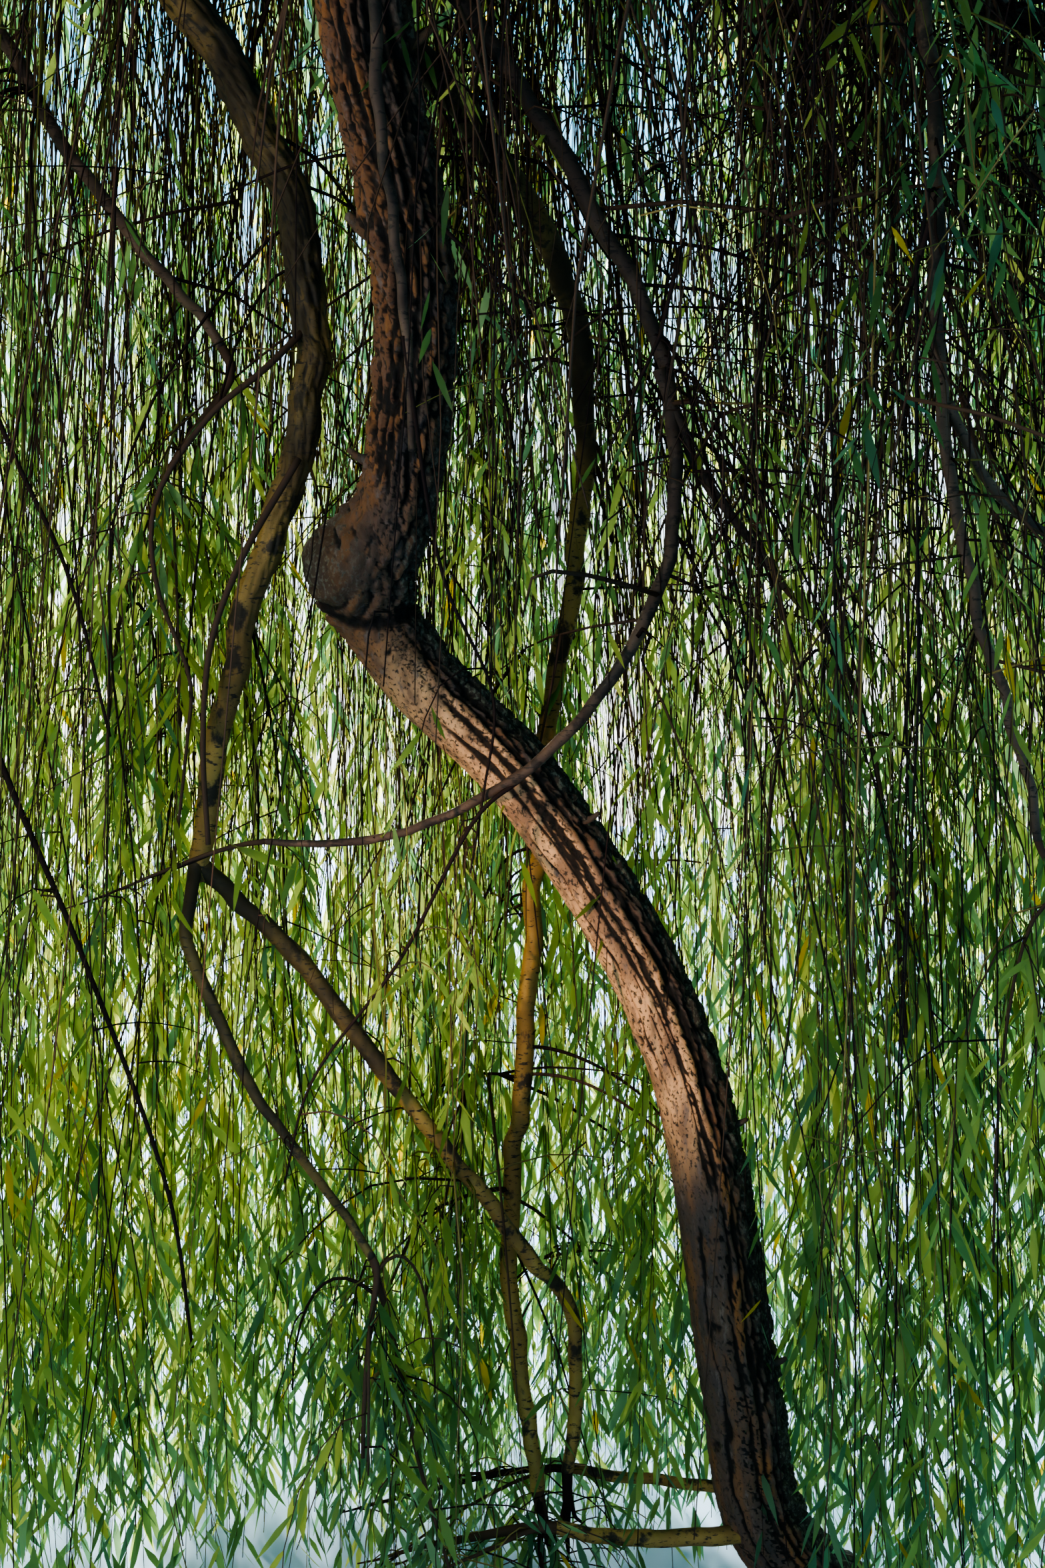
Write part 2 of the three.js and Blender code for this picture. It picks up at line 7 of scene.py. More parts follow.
import bmesh
import bpy
import numpy as np
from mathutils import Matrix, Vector


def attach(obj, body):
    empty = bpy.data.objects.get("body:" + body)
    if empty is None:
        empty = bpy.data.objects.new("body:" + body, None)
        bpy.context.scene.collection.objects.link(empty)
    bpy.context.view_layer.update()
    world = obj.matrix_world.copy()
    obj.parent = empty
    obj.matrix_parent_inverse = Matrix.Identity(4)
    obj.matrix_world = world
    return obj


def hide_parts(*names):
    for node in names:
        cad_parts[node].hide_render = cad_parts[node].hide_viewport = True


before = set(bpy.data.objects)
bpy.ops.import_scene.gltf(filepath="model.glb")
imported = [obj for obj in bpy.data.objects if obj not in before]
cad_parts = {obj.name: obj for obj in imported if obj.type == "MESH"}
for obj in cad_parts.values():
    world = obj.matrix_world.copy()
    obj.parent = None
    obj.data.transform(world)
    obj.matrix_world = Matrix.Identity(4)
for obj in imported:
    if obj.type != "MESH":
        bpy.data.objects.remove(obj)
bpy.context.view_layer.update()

MM = 0.001
UP = np.array([0.0, 0.0, 1.0])

# Crown and rule of growth, as in the solids, in metres.
CROWN = np.array([-0.880, -1.250])
CROWN_RADIUS = 2.900
CROWN_TOP = 5.400
DOME_FOOT = 3.000
CURTAIN_INNER = 2.150
CURTAIN_COUNT = 10
HEM_LOW = 0.150
HEM_HIGH = 0.650
CURTAIN_BOUGH = {"reach": 1.750, "tip": 4.350, "roots": (3.420, 4.250), "radii": (0.036, 0.017)}
DOME_COUNT = 5
DOME_BOUGH = {"reach": 0.600, "tip": 4.950, "roots": (4.300, 4.500), "radii": (0.022, 0.014)}
DOME_INNER = 0.500
DOME_OUTER = 1.680
DOME_FLOOR = 3.950
TUFT_FLOOR = 4.680
LEAF_LENGTH = 0.800
SMALL_LEAF_LENGTH = 0.400
TWIG_TRIES = 4
GOLDEN_TURN = 2.4
STEM_STEPS = 6
CURTAIN_RULE = {
    "twigs": 5, "leaves": 4, "over": (2.380, 4.330), "end": (2.560, 3.300), "spread": 0.700,
    "outward": (0.330, -0.060),
}
CURTAIN_JITTER = 0.260
DOME_RULE = {
    "twigs": 5, "leaves": 2, "over": (0.900, 5.130), "end": (1.350, 4.800), "spread": 0.620, "drop": 0.650,
}
TUFT_RULE = {"twigs": 6, "leaves": 1, "spread": 0.270, "drop": 0.060}
INNER_RULE = {"twigs": 4, "leaves": 2, "spread": (0.25, 0.6), "drop": 0.600, "least_drop": 0.120}
SOLID_SEEDS = {"curtain": 101, "dome": 211, "tuft": 307, "inner": 401}
SEAT_GAP = 0.00035
MASS_GAP = 0.025

# Root flare and knee collar of the trunk, as in the solids.
FLARE = {"swell": 0.042, "height": 0.062, "roots": 4, "toward": 0.2}
COLLAR = {"height": 2.175, "spread": 0.062, "swell": 0.064, "toward": 3.5}

# Centre lines with radii in millimetres, as in the solids. A limb split there at a bend is one line here.
TRUNK = [
    [75, 10, -110, 66], [-135, -10, 170, 88], [-192, -32, 480, 87], [-330, -100, 1200, 78],
    [-640, -180, 1740, 75], [-890, -235, 2000, 79], [-950, -290, 2130, 84], [-885, -420, 2330, 77],
    [-850, -600, 2640, 76], [-920, -820, 3030, 77], [-960, -1000, 3600, 64], [-890, -1240, 4600, 40],
]
LIMBS = {
    "left_bough": [
        [-945, -920, 3360, 46], [-1130, -880, 3640, 45], [-1360, -760, 3800, 43], [-1530, -620, 3780, 42],
        [-1470, -500, 3480, 40], [-1220, -420, 3120, 39], [-1070, -380, 2740, 38], [-1080, -340, 2430, 33],
        [-1190, -300, 2110, 28], [-1310, -250, 1560, 20],
    ],
    "left_inner_fork": [
        [-1306, -252, 1590, 17], [-1120, -200, 1380, 18], [-750, -100, 890, 17], [-560, 10, 600, 15],
        [-560, 30, 250, 14],
    ],
    "left_outer_fork": [
        [-1304, -254, 1620, 13], [-1310, -320, 1420, 13], [-1170, -340, 1150, 11], [-950, -340, 830, 8],
    ],
    "left_hanging_branch": [
        [-1400, -745, 3800, 19], [-1620, -750, 3740, 18], [-1740, -560, 3480, 17], [-1600, -320, 3080, 14],
        [-1250, -300, 2610, 10],
    ],
    "middle_bough": [
        [-880, -770, 3000, 26], [-760, -550, 2960, 26], [-620, -300, 2840, 26], [-540, -60, 2660, 25],
        [-530, 80, 2420, 22], [-590, 165, 1900, 21], [-640, 180, 1300, 21], [-685, 120, 560, 20],
        [-625, 25, 210, 17],
    ],
    "front_bough": [
        [-930, -880, 3200, 17], [-760, -750, 3060, 15], [-560, -630, 2810, 15], [-400, -500, 2500, 14],
        [-370, -470, 2240, 13], [-450, -450, 2000, 12], [-660, -425, 1760, 10], [-900, -405, 1650, 8],
        [-1150, -380, 1640, 6],
    ],
    "front_bough_fork": [[-408, -508, 2510, 10], [-330, -450, 2340, 10], [-150, -350, 2130, 7]],
    "front_stem": [
        [-945, -960, 3420, 13], [-905, -1010, 3200, 11], [-885, -925, 2870, 10], [-858, -750, 2500, 8],
        [-850, -650, 2330, 7],
    ],
    "right_low_bough": [
        [-945, -940, 3300, 34], [-560, -880, 3340, 28], [60, -730, 3090, 23], [560, -680, 2900, 18],
    ],
    "right_stem": [
        [-110, -770, 3175, 14], [-70, -960, 3050, 13], [-35, -1000, 2700, 12], [0, -965, 2240, 10],
        [170, -850, 1660, 7],
    ],
    "right_stem_fork": [[-8, -972, 2330, 8], [80, -890, 2210, 8], [320, -700, 2120, 7]],
    "base_limb_low": [[-120, -40, 150, 19], [-420, -80, 160, 17], [-585, -80, 180, 15]],
    "base_limb_high": [[-150, 0, 215, 13], [-410, 95, 210, 12], [-545, 95, 225, 10]],
}
# Masses on limbs in the photo: limb, place of the middle, radius, top and bottom, as in the solids.
INNER_MASSES = {
    "left_inner_mass": ("left_outer_fork", -0.960, -0.420, 0.400, 0.900, 0.130),
    "right_inner_mass": ("front_bough_fork", 0.090, -0.330, 0.300, 2.180, 0.500),
    "upper_left_mass": ("left_hanging_branch", -1.520, -0.130, 0.330, 2.660, 1.250),
    "right_hanging_mass": ("right_stem", 0.300, -0.900, 0.330, 1.720, 0.250),
    "right_side_mass": ("right_low_bough", 0.780, -0.720, 0.380, 2.960, 1.100),
}
# How many fine twigs the scene adds to each of them.
INNER_WHIPS = dict(zip(INNER_MASSES, (20, 22, 46, 16, 24)))


# Numbers: repeatable draws and noise


def random_stream(seed):
    """The solids' own stream of numbers from 0 to 1."""
    state = seed

    def draw():
        nonlocal state
        state = (state + 0x6D2B79F5) & 0xFFFFFFFF
        mixed = ((state ^ (state >> 15)) * (1 | state)) & 0xFFFFFFFF
        mixed = ((mixed + (mixed ^ (mixed >> 7)) * (61 | mixed)) & 0xFFFFFFFF) ^ mixed
        return ((mixed ^ (mixed >> 14)) & 0xFFFFFFFF) / 4294967296

    return draw


def lattice(cell, seed):
    """A repeatable number from -1 to 1 for each cell of a grid."""
    x, y, z = (cell[..., k].astype(np.int64) for k in range(3))
    mixed = (x * 374761393 + y * 668265263 + z * 1103515245 + seed * 974711) & 0xFFFFFFFF
    mixed = ((mixed ^ (mixed >> 13)) * 1274126177) & 0xFFFFFFFF
    mixed = ((mixed ^ (mixed >> 16)) * 1103515245) & 0xFFFFFFFF
    mixed ^= mixed >> 15
    return mixed / 2147483648.0 - 1.0


def noise(at, seed=0):
    """Smooth noise from -1 to 1, with features one unit across."""
    base = np.floor(at)
    part = at - base
    ease = part * part * (3 - 2 * part)
    total = 0
    for corner in range(8):
        bits = np.array([corner & 1, corner >> 1 & 1, corner >> 2 & 1])
        total = total + np.prod(np.where(bits, ease, 1 - ease), axis=-1) * lattice(base + bits, seed)
    return total


def plates(at, seed):
    """Distance from the nearest crack between plates, from 0 up, and a number from 0 to 1 for each plate."""
    base = np.floor(at)
    nearest = np.full(at.shape[:-1], 9.0)
    second = nearest.copy()
    chosen = np.zeros(at.shape[:-1])
    for corner in range(27):
        cell = base + np.array([corner % 3, corner // 3 % 3, corner // 9]) - 1
        jitter = np.stack([lattice(cell, seed + k) for k in range(3)], -1)
        away = np.linalg.norm(cell + 0.5 + 0.42 * jitter - at, axis=-1)
        closer = away < nearest
        second = np.where(closer, nearest, np.minimum(second, away))
        chosen = np.where(closer, 0.5 + 0.5 * jitter[..., 0], chosen)
        nearest = np.where(closer, away, nearest)
    return second - nearest, chosen


def smooth(value, low, high):
    """0 below low, 1 above high, and an even ramp between."""
    share = np.clip((value - low) / (high - low), 0, 1)
    return share * share * (3 - 2 * share)


def lerp(low, high, share):
    return low + (high - low) * share


def unit(vectors):
    return vectors / np.maximum(np.linalg.norm(vectors, axis=-1, keepdims=True), 1e-9)


def bell(value):
    """1 at 0, falling evenly to nearly 0 at 2 on both sides."""
    return np.exp(-(value**2))


# Lines


def catmull_rom(points, t):
    """Places along the centripetal curve through points, at shares t of its points."""
    ends = np.vstack([2 * points[0] - points[1], points, 2 * points[-1] - points[-2]])
    place = np.clip(t, 0, 1) * (len(points) - 1)
    first = np.minimum(place.astype(int), len(points) - 2)
    share = (place - first)[:, None]
    p = [ends[first + k] for k in range(4)]
    gap = [np.sqrt(np.linalg.norm(p[k + 1] - p[k], axis=1, keepdims=True)) for k in range(3)]
    start = ((p[1] - p[0]) / gap[0] - (p[2] - p[0]) / (gap[0] + gap[1]) + (p[2] - p[1]) / gap[1]) * gap[1]
    end = ((p[2] - p[1]) / gap[1] - (p[3] - p[1]) / (gap[1] + gap[2]) + (p[3] - p[2]) / gap[2]) * gap[1]
    bend = -3 * p[1] + 3 * p[2] - 2 * start - end
    turn = 2 * p[1] - 2 * p[2] + start + end
    return p[1] + share * (start + share * (bend + share * turn))


def bezier(controls, t):
    """Places along cubic curves: controls of shape (..., 4, 3), t of shape (n,), result (..., n, 3)."""
    weights = np.stack([(1 - t) ** 3, 3 * t * (1 - t) ** 2, 3 * t * t * (1 - t), t**3], -1)
    return weights @ controls


class Line:
    """A centre line through rows of [x, y, z, radius] in millimetres."""

    def __init__(self, rows):
        rows = np.array(rows, float) * MM
        self.points, self.radii = rows[:, :3], rows[:, 3]

    def at(self, t):
        return catmull_rom(self.points, np.atleast_1d(np.asarray(t, float)))

    def direction(self, t):
        t = np.atleast_1d(np.asarray(t, float))
        return unit(self.at(np.minimum(t + 1e-3, 1)) - self.at(np.maximum(t - 1e-3, 0)))

    def radius(self, t):
        return np.interp(t, np.linspace(0, 1, len(self.radii)), self.radii)

    def place_at_height(self, height):
        low, high = 0.0, 1.0
        for _ in range(30):
            middle = (low + high) / 2
            low, high = (middle, high) if self.at(middle)[0, 2] < height else (low, middle)
        return self.at(low)[0]


def heading(azimuth):
    """A level direction at an azimuth from +X."""
    azimuth = np.asarray(azimuth, float)
    return np.stack([np.cos(azimuth), np.sin(azimuth), np.zeros_like(azimuth)], -1)


def crown_place(azimuth, reach, height):
    return np.array([*CROWN, height]) + reach * heading(azimuth)


def curtain_azimuth(index):
    return (index + 0.5) / CURTAIN_COUNT * 2 * math.pi


def dome_azimuth(index):
    return (index + 0.25) / DOME_COUNT * 2 * math.pi


def crown_bough(root_height, tip, radii):
    """Rows in millimetres of a bough of the crown: it leaves the trunk rising and levels out at its tip."""
    root = trunk_line.place_at_height(root_height)
    rows = []
    for share in (0, 0.3, 0.65, 1):
        at = lerp(root, tip, share)
        height = lerp(root[2], tip[2], math.sin(share * math.pi / 2))
        rows.append([at[0] / MM, at[1] / MM, height / MM, lerp(*radii, share) / MM])
    return rows


trunk_line = Line(TRUNK)
for i in range(CURTAIN_COUNT):
    root_height = lerp(*CURTAIN_BOUGH["roots"], (i * 3 % CURTAIN_COUNT) / (CURTAIN_COUNT - 1))
    tip = crown_place(curtain_azimuth(i), CURTAIN_BOUGH["reach"], CURTAIN_BOUGH["tip"])
    LIMBS[f"curtain_bough_{i + 1}"] = crown_bough(root_height, tip, CURTAIN_BOUGH["radii"])
for i in range(DOME_COUNT):
    root_height = lerp(*DOME_BOUGH["roots"], (i * 2 % DOME_COUNT) / (DOME_COUNT - 1))
    tip = crown_place(dome_azimuth(i), DOME_BOUGH["reach"], DOME_BOUGH["tip"])
    LIMBS[f"dome_bough_{i + 1}"] = crown_bough(root_height, tip, DOME_BOUGH["radii"])
lines = {"trunk": trunk_line, **{name: Line(rows) for name, rows in LIMBS.items()}}


# Meshes


def mesh_piece(name, vertices, faces, materials, face_material=None, attributes=None, is_smooth=True):
    """An object from arrays: vertices (n, 3), faces (m, 3 or 4)."""
    mesh = bpy.data.meshes.new(name)
    count, corners = faces.shape
    mesh.vertices.add(len(vertices))
    mesh.vertices.foreach_set("co", np.ascontiguousarray(vertices, np.float32).ravel())
    mesh.loops.add(count * corners)
    mesh.loops.foreach_set("vertex_index", np.ascontiguousarray(faces, np.int32).ravel())
    mesh.polygons.add(count)
    mesh.polygons.foreach_set("loop_start", np.arange(0, count * corners, corners, dtype=np.int32))
    for material in materials:
        mesh.materials.append(material)
    if face_material is not None:
        mesh.polygons.foreach_set("material_index", np.ascontiguousarray(face_material, np.int32))
    mesh.polygons.foreach_set("use_smooth", np.full(count, is_smooth))
    for key, values in (attributes or {}).items():
        data = mesh.attributes.new(key, "FLOAT", "POINT").data
        data.foreach_set("value", np.ascontiguousarray(values, np.float32))
    mesh.update(calc_edges=True)
    mesh.validate()
    piece = bpy.data.objects.new(name, mesh)
    bpy.context.scene.collection.objects.link(piece)
    return piece


def join_parts(parts):
    """Vertices and faces of parts (vertices, faces, values) as one mesh."""
    offsets = np.cumsum([0] + [len(part[0]) for part in parts[:-1]])
    vertices = np.concatenate([part[0] for part in parts])
    faces = np.concatenate([part[1] + offset for part, offset in zip(parts, offsets)])
    return vertices, faces


def tube_faces(rings, sides):
    """Two triangles for each side of a tube between its rings."""
    index = np.arange(rings * sides).reshape(rings, sides)
    a, b = index[:-1], index[1:]
    quads = np.stack([a, np.roll(a, -1, 1), np.roll(b, -1, 1), b], -1).reshape(-1, 4)
    return np.concatenate([quads[:, [0, 1, 2]], quads[:, [0, 2, 3]]])


def repeated(faces, times, corners):
    """The faces of one shape for each of its copies, every copy with its own corners."""
    return (faces[None] + (np.arange(times) * corners)[:, None, None]).reshape(-1, 3)


def dress(piece, slot, nodes):
    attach(piece, "root")
    if nodes:
        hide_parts(*nodes)


# Bark: limbs with real relief


class Skin:
    """The unwrapped surface of a limb: for each ring and side its direction, radius and place on the bark."""

    def __init__(self, line, sides, pitch):
        fine = line.at(np.linspace(0, 1, 400))
        rings = max(6, int(np.linalg.norm(np.diff(fine, axis=0), axis=1).sum() / pitch))
        self.t = np.linspace(0, 1, rings + 1)
        self.centre = line.at(self.t)
        along = line.direction(self.t)
        sides_at = []
        side = np.array([0.0, 1.0, 0.0])
        for tangent in along:
            side = unit(side - tangent * (side @ tangent))
            sides_at.append(side)
        sides_at = np.array(sides_at)
        across = np.cross(sides_at, along)
        angle = np.linspace(0, 2 * math.pi, sides, endpoint=False)
        self.outward = (
            np.cos(angle)[None, :, None] * sides_at[:, None] + np.sin(angle)[None, :, None] * across[:, None]
        )
        self.along = along
        self.radius = line.radius(self.t)[:, None]
        run = np.concatenate([[0], np.cumsum(np.linalg.norm(np.diff(self.centre, axis=0), axis=1))])
        self.run = np.broadcast_to(run[:, None], (rings + 1, sides))
        self.height = np.broadcast_to(self.centre[:, None, 2], (rings + 1, sides))
        round_bark = float(np.median(self.radius)) * np.array([np.cos(angle), np.sin(angle)])
        self.bark = np.stack([*(np.broadcast_to(row, self.run.shape) for row in round_bark), self.run], -1)
        self.total = run[-1]


def bark_grid(skin, lift):
    """Vertices and faces of a closed limb whose surface stands lift above its plain radius."""
    rings, sides = lift.shape
    grid = skin.centre[:, None] + skin.outward * (skin.radius + lift)[..., None]
    tip = skin.centre[-1] + skin.along[-1] * skin.radius[-1] * 0.5
    root = skin.centre[0]
    top, foot = rings * sides, rings * sides + 1
    first = np.arange(sides)
    last = first + (rings - 1) * sides
    tip_faces = np.stack([last, np.roll(last, -1), np.full(sides, top)], -1)
    root_faces = np.stack([np.roll(first, -1), first, np.full(sides, foot)], -1)
    triangles = np.concatenate([tube_faces(rings, sides), tip_faces, root_faces])
    return np.vstack([grid.reshape(-1, 3), tip, root]), triangles


def flatten(values, shape):
    """A value for each vertex of bark_grid, with the two end points given the ends' mean."""
    values = np.broadcast_to(values, shape)
    return np.concatenate([values.ravel(), [values[-1].mean(), values[0].mean()]])


def old_bark(skin, seed, wide, tall, depth, rough):
    """Furrowed bark: plates wide by tall, parted by cracks of a depth. Returns lift, crack and plate."""
    warp = noise(skin.bark / [3.1 * wide, 3.1 * wide, 1.3 * tall], seed + 11)
    ragged = noise(skin.bark / [0.5 * wide, 0.5 * wide, 0.16 * tall], seed + 12)
    place = skin.bark / [wide, wide, tall]
    place[..., 0] += 0.8 * warp + 0.16 * ragged
    place[..., 1] -= 0.8 * warp - 0.16 * ragged
    place[..., 2] += 0.25 * ragged
    edge, plate = plates(place, seed)
    fine_place = skin.bark / [0.45 * wide, 0.45 * wide, 0.3 * tall]
    fine, _ = plates(fine_place + 0.5 * warp[..., None], seed + 5)
    body = smooth(edge, 0.02, 0.42)
    flakes = smooth(fine, 0.0, 0.3)
    grain = noise(skin.bark / [0.011, 0.011, 0.03], seed + 3)
    lift = depth * (body * (0.72 + 0.28 * plate) + 0.22 * flakes - 0.85) + rough * grain
    return lift, smooth(edge, 0.01, 0.16) * (0.55 + 0.45 * smooth(fine, 0.0, 0.12)), plate


def trunk_swell(skin):
    """Root flare and the collar at the knee, as in the solids."""
    turn_at = np.arctan2(skin.outward[..., 1], skin.outward[..., 0])
    turn = turn_at - FLARE["toward"]
    lobes = 0.62 + 0.2 * np.cos(turn) + 0.18 * np.cos(FLARE["roots"] * turn)
    flare = FLARE["swell"] * lobes * np.exp(-np.maximum(skin.height, 0) / FLARE["height"])
    facing = np.maximum(0, np.cos(turn_at - COLLAR["toward"])) ** 2
    collar = COLLAR["swell"] * facing * bell((skin.height - COLLAR["height"]) / COLLAR["spread"])
    return flare + collar


def cut_level(piece):
    """Cuts a piece flat at the ground and closes the cut."""
    shape = bmesh.new()
    shape.from_mesh(piece.data)
    geometry = shape.verts[:] + shape.edges[:] + shape.faces[:]
    bmesh.ops.bisect_plane(shape, geom=geometry, plane_co=(0, 0, 0), plane_no=(0, 0, -1), clear_outer=True)
    rim = [edge for edge in shape.edges if edge.is_boundary]
    bmesh.ops.holes_fill(shape, edges=rim)
    bmesh.ops.triangulate(shape, faces=[face for face in shape.faces if len(face.verts) > 3])
    shape.to_mesh(piece.data)
    shape.free()


# What the photo shows across the trunk is placed by a number from -1 at its left edge to 1 at its right edge.
# Knots: height, place across, size.
TRUNK_KNOTS = [
    (0.62, -0.52, 0.026), (0.36, -0.80, 0.022), (1.46, -0.43, 0.020), (1.25, -0.86, 0.030),
    (2.72, -0.85, 0.030), (0.95, 0.35, 0.016), (2.02, -0.25, 0.018), (3.15, 0.30, 0.024), (1.75, 0.45, 0.018),
]
# Long cracks: place across, from and to which height, width.
CRACKS = [
    (-0.74, 1.10, 1.75, 0.0050), (-0.42, 1.10, 1.98, 0.0085), (-0.20, 0.85, 1.80, 0.0065),
    (0.05, 0.00, 2.00, 0.0085), (0.38, 0.00, 2.05, 0.0095), (0.62, 0.00, 2.10, 0.0080),
    (-0.50, 0.00, 0.90, 0.0050), (-0.72, 2.32, 3.50, 0.0060), (-0.46, 2.28, 3.50, 0.0075),
    (-0.18, 2.25, 3.50, 0.0085), (0.10, 2.30, 3.50, 0.0090), (0.36, 2.25, 3.50, 0.0085),
    (0.62, 2.25, 3.50, 0.0080),
]
CRACK_DEPTH = 0.0075
# The crease where the leader rises from the knee: its height, half width and depth.
CREASE = {"height": 2.10, "half": 0.018, "depth": 0.008}
RUST_LANE = (0.08, 0.38)
# The knob at the knee, with folds of bark round it: their spacing, reach and height.
BALL = np.array([-1.03, -0.33, 2.19])
FOLDS = {"period": 0.031, "reach": 0.17, "lift": 0.007}


class TrunkSkin(Skin):
    """The trunk's surface, with the place across it that the photo shows and the zones of its bark."""

    def __init__(self):
        super().__init__(trunk_line, sides=112, pitch=0.0062)
        lean = self.along[:, None]
        self.side = unit(np.stack([lean[..., 2], 0 * lean[..., 2], -lean[..., 0]], -1))
        self.surface = self.centre[:, None] + self.outward * self.radius[..., None]
        self.wander = noise(self.bark / [0.05, 0.05, 0.25], 72)
        across = np.sum(self.outward * self.side, -1) + 0.10 * self.drift(0.22, 71) + 0.12 * self.wander
        self.at = np.clip(across + 0.05 * noise(self.bark / [0.012, 0.012, 0.05], 73), -1, 1)
        self.leader = smooth(self.height + 0.08 * self.wander, 2.16, 2.42)
        self.knee = bell((self.height - 2.2) / 0.16)
        furrows = lerp(smooth(self.at, 0.22, 0.46), 0.85 + 0.15 * smooth(self.at, -0.5, -0.2), self.leader)
        self.furrowed = np.maximum(furrows, 0.5 * self.knee)

    def drift(self, length, seed, row=0):
        """Noise that changes with the height alone."""
        return noise(np.stack([self.height / length, 0 * self.height + row, 0 * self.height], -1), seed)


def trunk_plates(skin):
    """Lift, relief and plates: furrowed on the right and on the leader, quiet and finely scaled elsewhere."""
    height = skin.height
    scaly = np.maximum(smooth(skin.at, -0.45, -0.05), 0.8 * (1 - smooth(height, 0.0, 0.35)))
    coarse_lift, coarse, plate = old_bark(skin, 21, wide=0.021, tall=0.095, depth=0.0120, rough=0.0006)
    fine_lift, fine, _ = old_bark(skin, 43, wide=0.013, tall=0.036, depth=0.0048, rough=0.0008)
    quiet = 0.28 + 0.62 * scaly + 0.25 * skin.leader + 0.30 * (1 - smooth(height, 0.9, 1.2))
    quiet = np.minimum(quiet, 1.15)
    lift = lerp(quiet * fine_lift, coarse_lift + 0.25 * fine_lift, skin.furrowed)
    deep = coarse * lerp(0.6 + 0.4 * fine, 0.2 + 0.8 * fine, skin.leader)
    return lift, lerp(lerp(1, fine, quiet), deep, skin.furrowed), plate


def cut_cracks(skin, lift, relief):
    """Long cracks that wander up the trunk, and the crease over the knee: cut in, and darkened as dark inner
    bark and painted shade.
    """
    height, at = skin.height, skin.at
    crack = 0 * height
    for k, (place, low, high, width) in enumerate(CRACKS):
        bend = 0.10 * skin.drift(0.30, 91, k) + 0.035 * skin.drift(0.04, 92, k)
        away = skin.radius * np.abs(np.arcsin(at) - math.asin(place) - bend)
        wide = width * np.clip(1.0 + 0.8 * skin.drift(0.09, 93, k), 0.45, 1.6)
        within = smooth(height, low, low + 0.1) * (1 - smooth(height, high - 0.12, high))
        crack = np.maximum(crack, within * (1 - smooth(away, 0.3 * wide, wide)))
    crease = bell((height - CREASE["height"] - 0.02 * skin.wander + 0.03 * at) / CREASE["half"])
    lift = lift - CRACK_DEPTH * crack - CREASE["depth"] * crease
    return lift, relief * (1 - 0.95 * crack) * (1 - 0.9 * crease)


def raise_knots(skin, lift, relief):
    """Healed knots: a swelling with a hollow in its middle and rings of bark round it, the hollow darkened as
    painted shade.
    """
    for knot_height, place, size in TRUNK_KNOTS:
        ring = int(np.argmin(np.abs(skin.centre[:, 2] - knot_height)))
        toward = skin.side[ring, 0] * place + np.array([0, -1, 0]) * math.sqrt(1 - place * place)
        knot = skin.centre[ring] + toward * skin.radius[ring]
        away = np.linalg.norm((skin.surface - knot) * [1, 1, 0.75], axis=-1) / size
        rings = np.cos(9 * away + 3 * skin.wander) * bell(away / 1.3)
        lift = lift + size * (0.42 * bell(away) - 0.50 * bell(away / 0.4) + 0.05 * rings)
        relief = relief * (1 - 0.85 * bell(away / 0.5)) * (1 - 0.45 * np.maximum(0, rings))
    return lift, relief


def fold_knee(skin, lift, relief):
    """Folds of bark round the knob at the knee, with painted shade in the troughs between them."""
    turn = np.arctan2(skin.outward[..., 1], skin.outward[..., 0]) - COLLAR["toward"]
    shown = np.maximum(np.maximum(0, np.cos(turn)), skin.knee)
    away = np.linalg.norm(skin.surface - BALL, axis=-1)
    folds = np.sin(2 * math.pi * away / FOLDS["period"] + 4.0 * skin.wander)
    folds = folds * np.exp(-((away / FOLDS["reach"]) ** 4))
    broken = np.clip(0.7 + 1.5 * noise(skin.surface / [0.05, 0.05, 0.025], 97), 0.0, 1.2)
    folds = folds * smooth(away, 0.03, 0.06) * broken
    return lift + FOLDS["lift"] * folds * shown, relief * (1 - 0.85 * smooth(-folds, 0.35, 0.9) * shown)


def trunk_colours(skin, plate):
    """Shares of the colours that have a place: pale bare bark with a painted highlight on it, blackish moss
    with painted shade on the right side and the knob, rust, and reddish bark with painted light on the
    leader's left side.
    """
    height, at, leader = skin.height, skin.at, skin.leader
    # The pale lane on the left of the trunk's middle: pale bare bark, with a painted highlight where the
    # light falls.
    middle = smooth(height, 0.85, 1.15) * (1 - smooth(height, 1.90, 2.12))
    bare = middle * (1 - smooth(at, 0.10, 0.34))
    # Blackish on the trunk's right side and on the knob at the knee: moss, and painted shade on the side
    # turned from the light.
    dark = lerp(0.9 * smooth(at, 0.50, 0.78), 0.75 * smooth(at, 0.50, 0.95), leader)
    dark = np.maximum(dark, 0.95 * bell(np.linalg.norm((skin.surface - BALL) * [1, 1, 0.8], axis=-1) / 0.095))
    left, right = RUST_LANE
    in_lane = smooth(at, left, left + 0.05) * (1 - smooth(at, right, right + 0.05))
    rust = in_lane * smooth(skin.drift(0.10, 96) + 0.4 * skin.wander, -0.35, 0.0)
    rust = rust * (1 - smooth(height, 1.75, 1.95))
    spots = smooth(noise(skin.bark / [0.03, 0.03, 0.16], 95), 0.25, 0.5)
    rust = np.maximum(rust, 0.5 * spots * (1 - bare) * (1 - dark))
    rust = np.maximum(rust, 0.7 * np.maximum(leader, skin.knee) * smooth(plate, 0.50, 0.75) * (1 - dark))
    # Reddish on the leader's left side and on the smooth, unfurrowed side above 1.75 metres: reddish bark,
    # and painted light on the side the light falls on.
    red = np.maximum(leader * (1 - smooth(at, -0.45, 0.0)), smooth(height, 1.75, 1.95) * (1 - skin.furrowed))
    return {"plate": plate, "moss_and_shade": dark, "bare": bare, "rust": rust, "red": red}


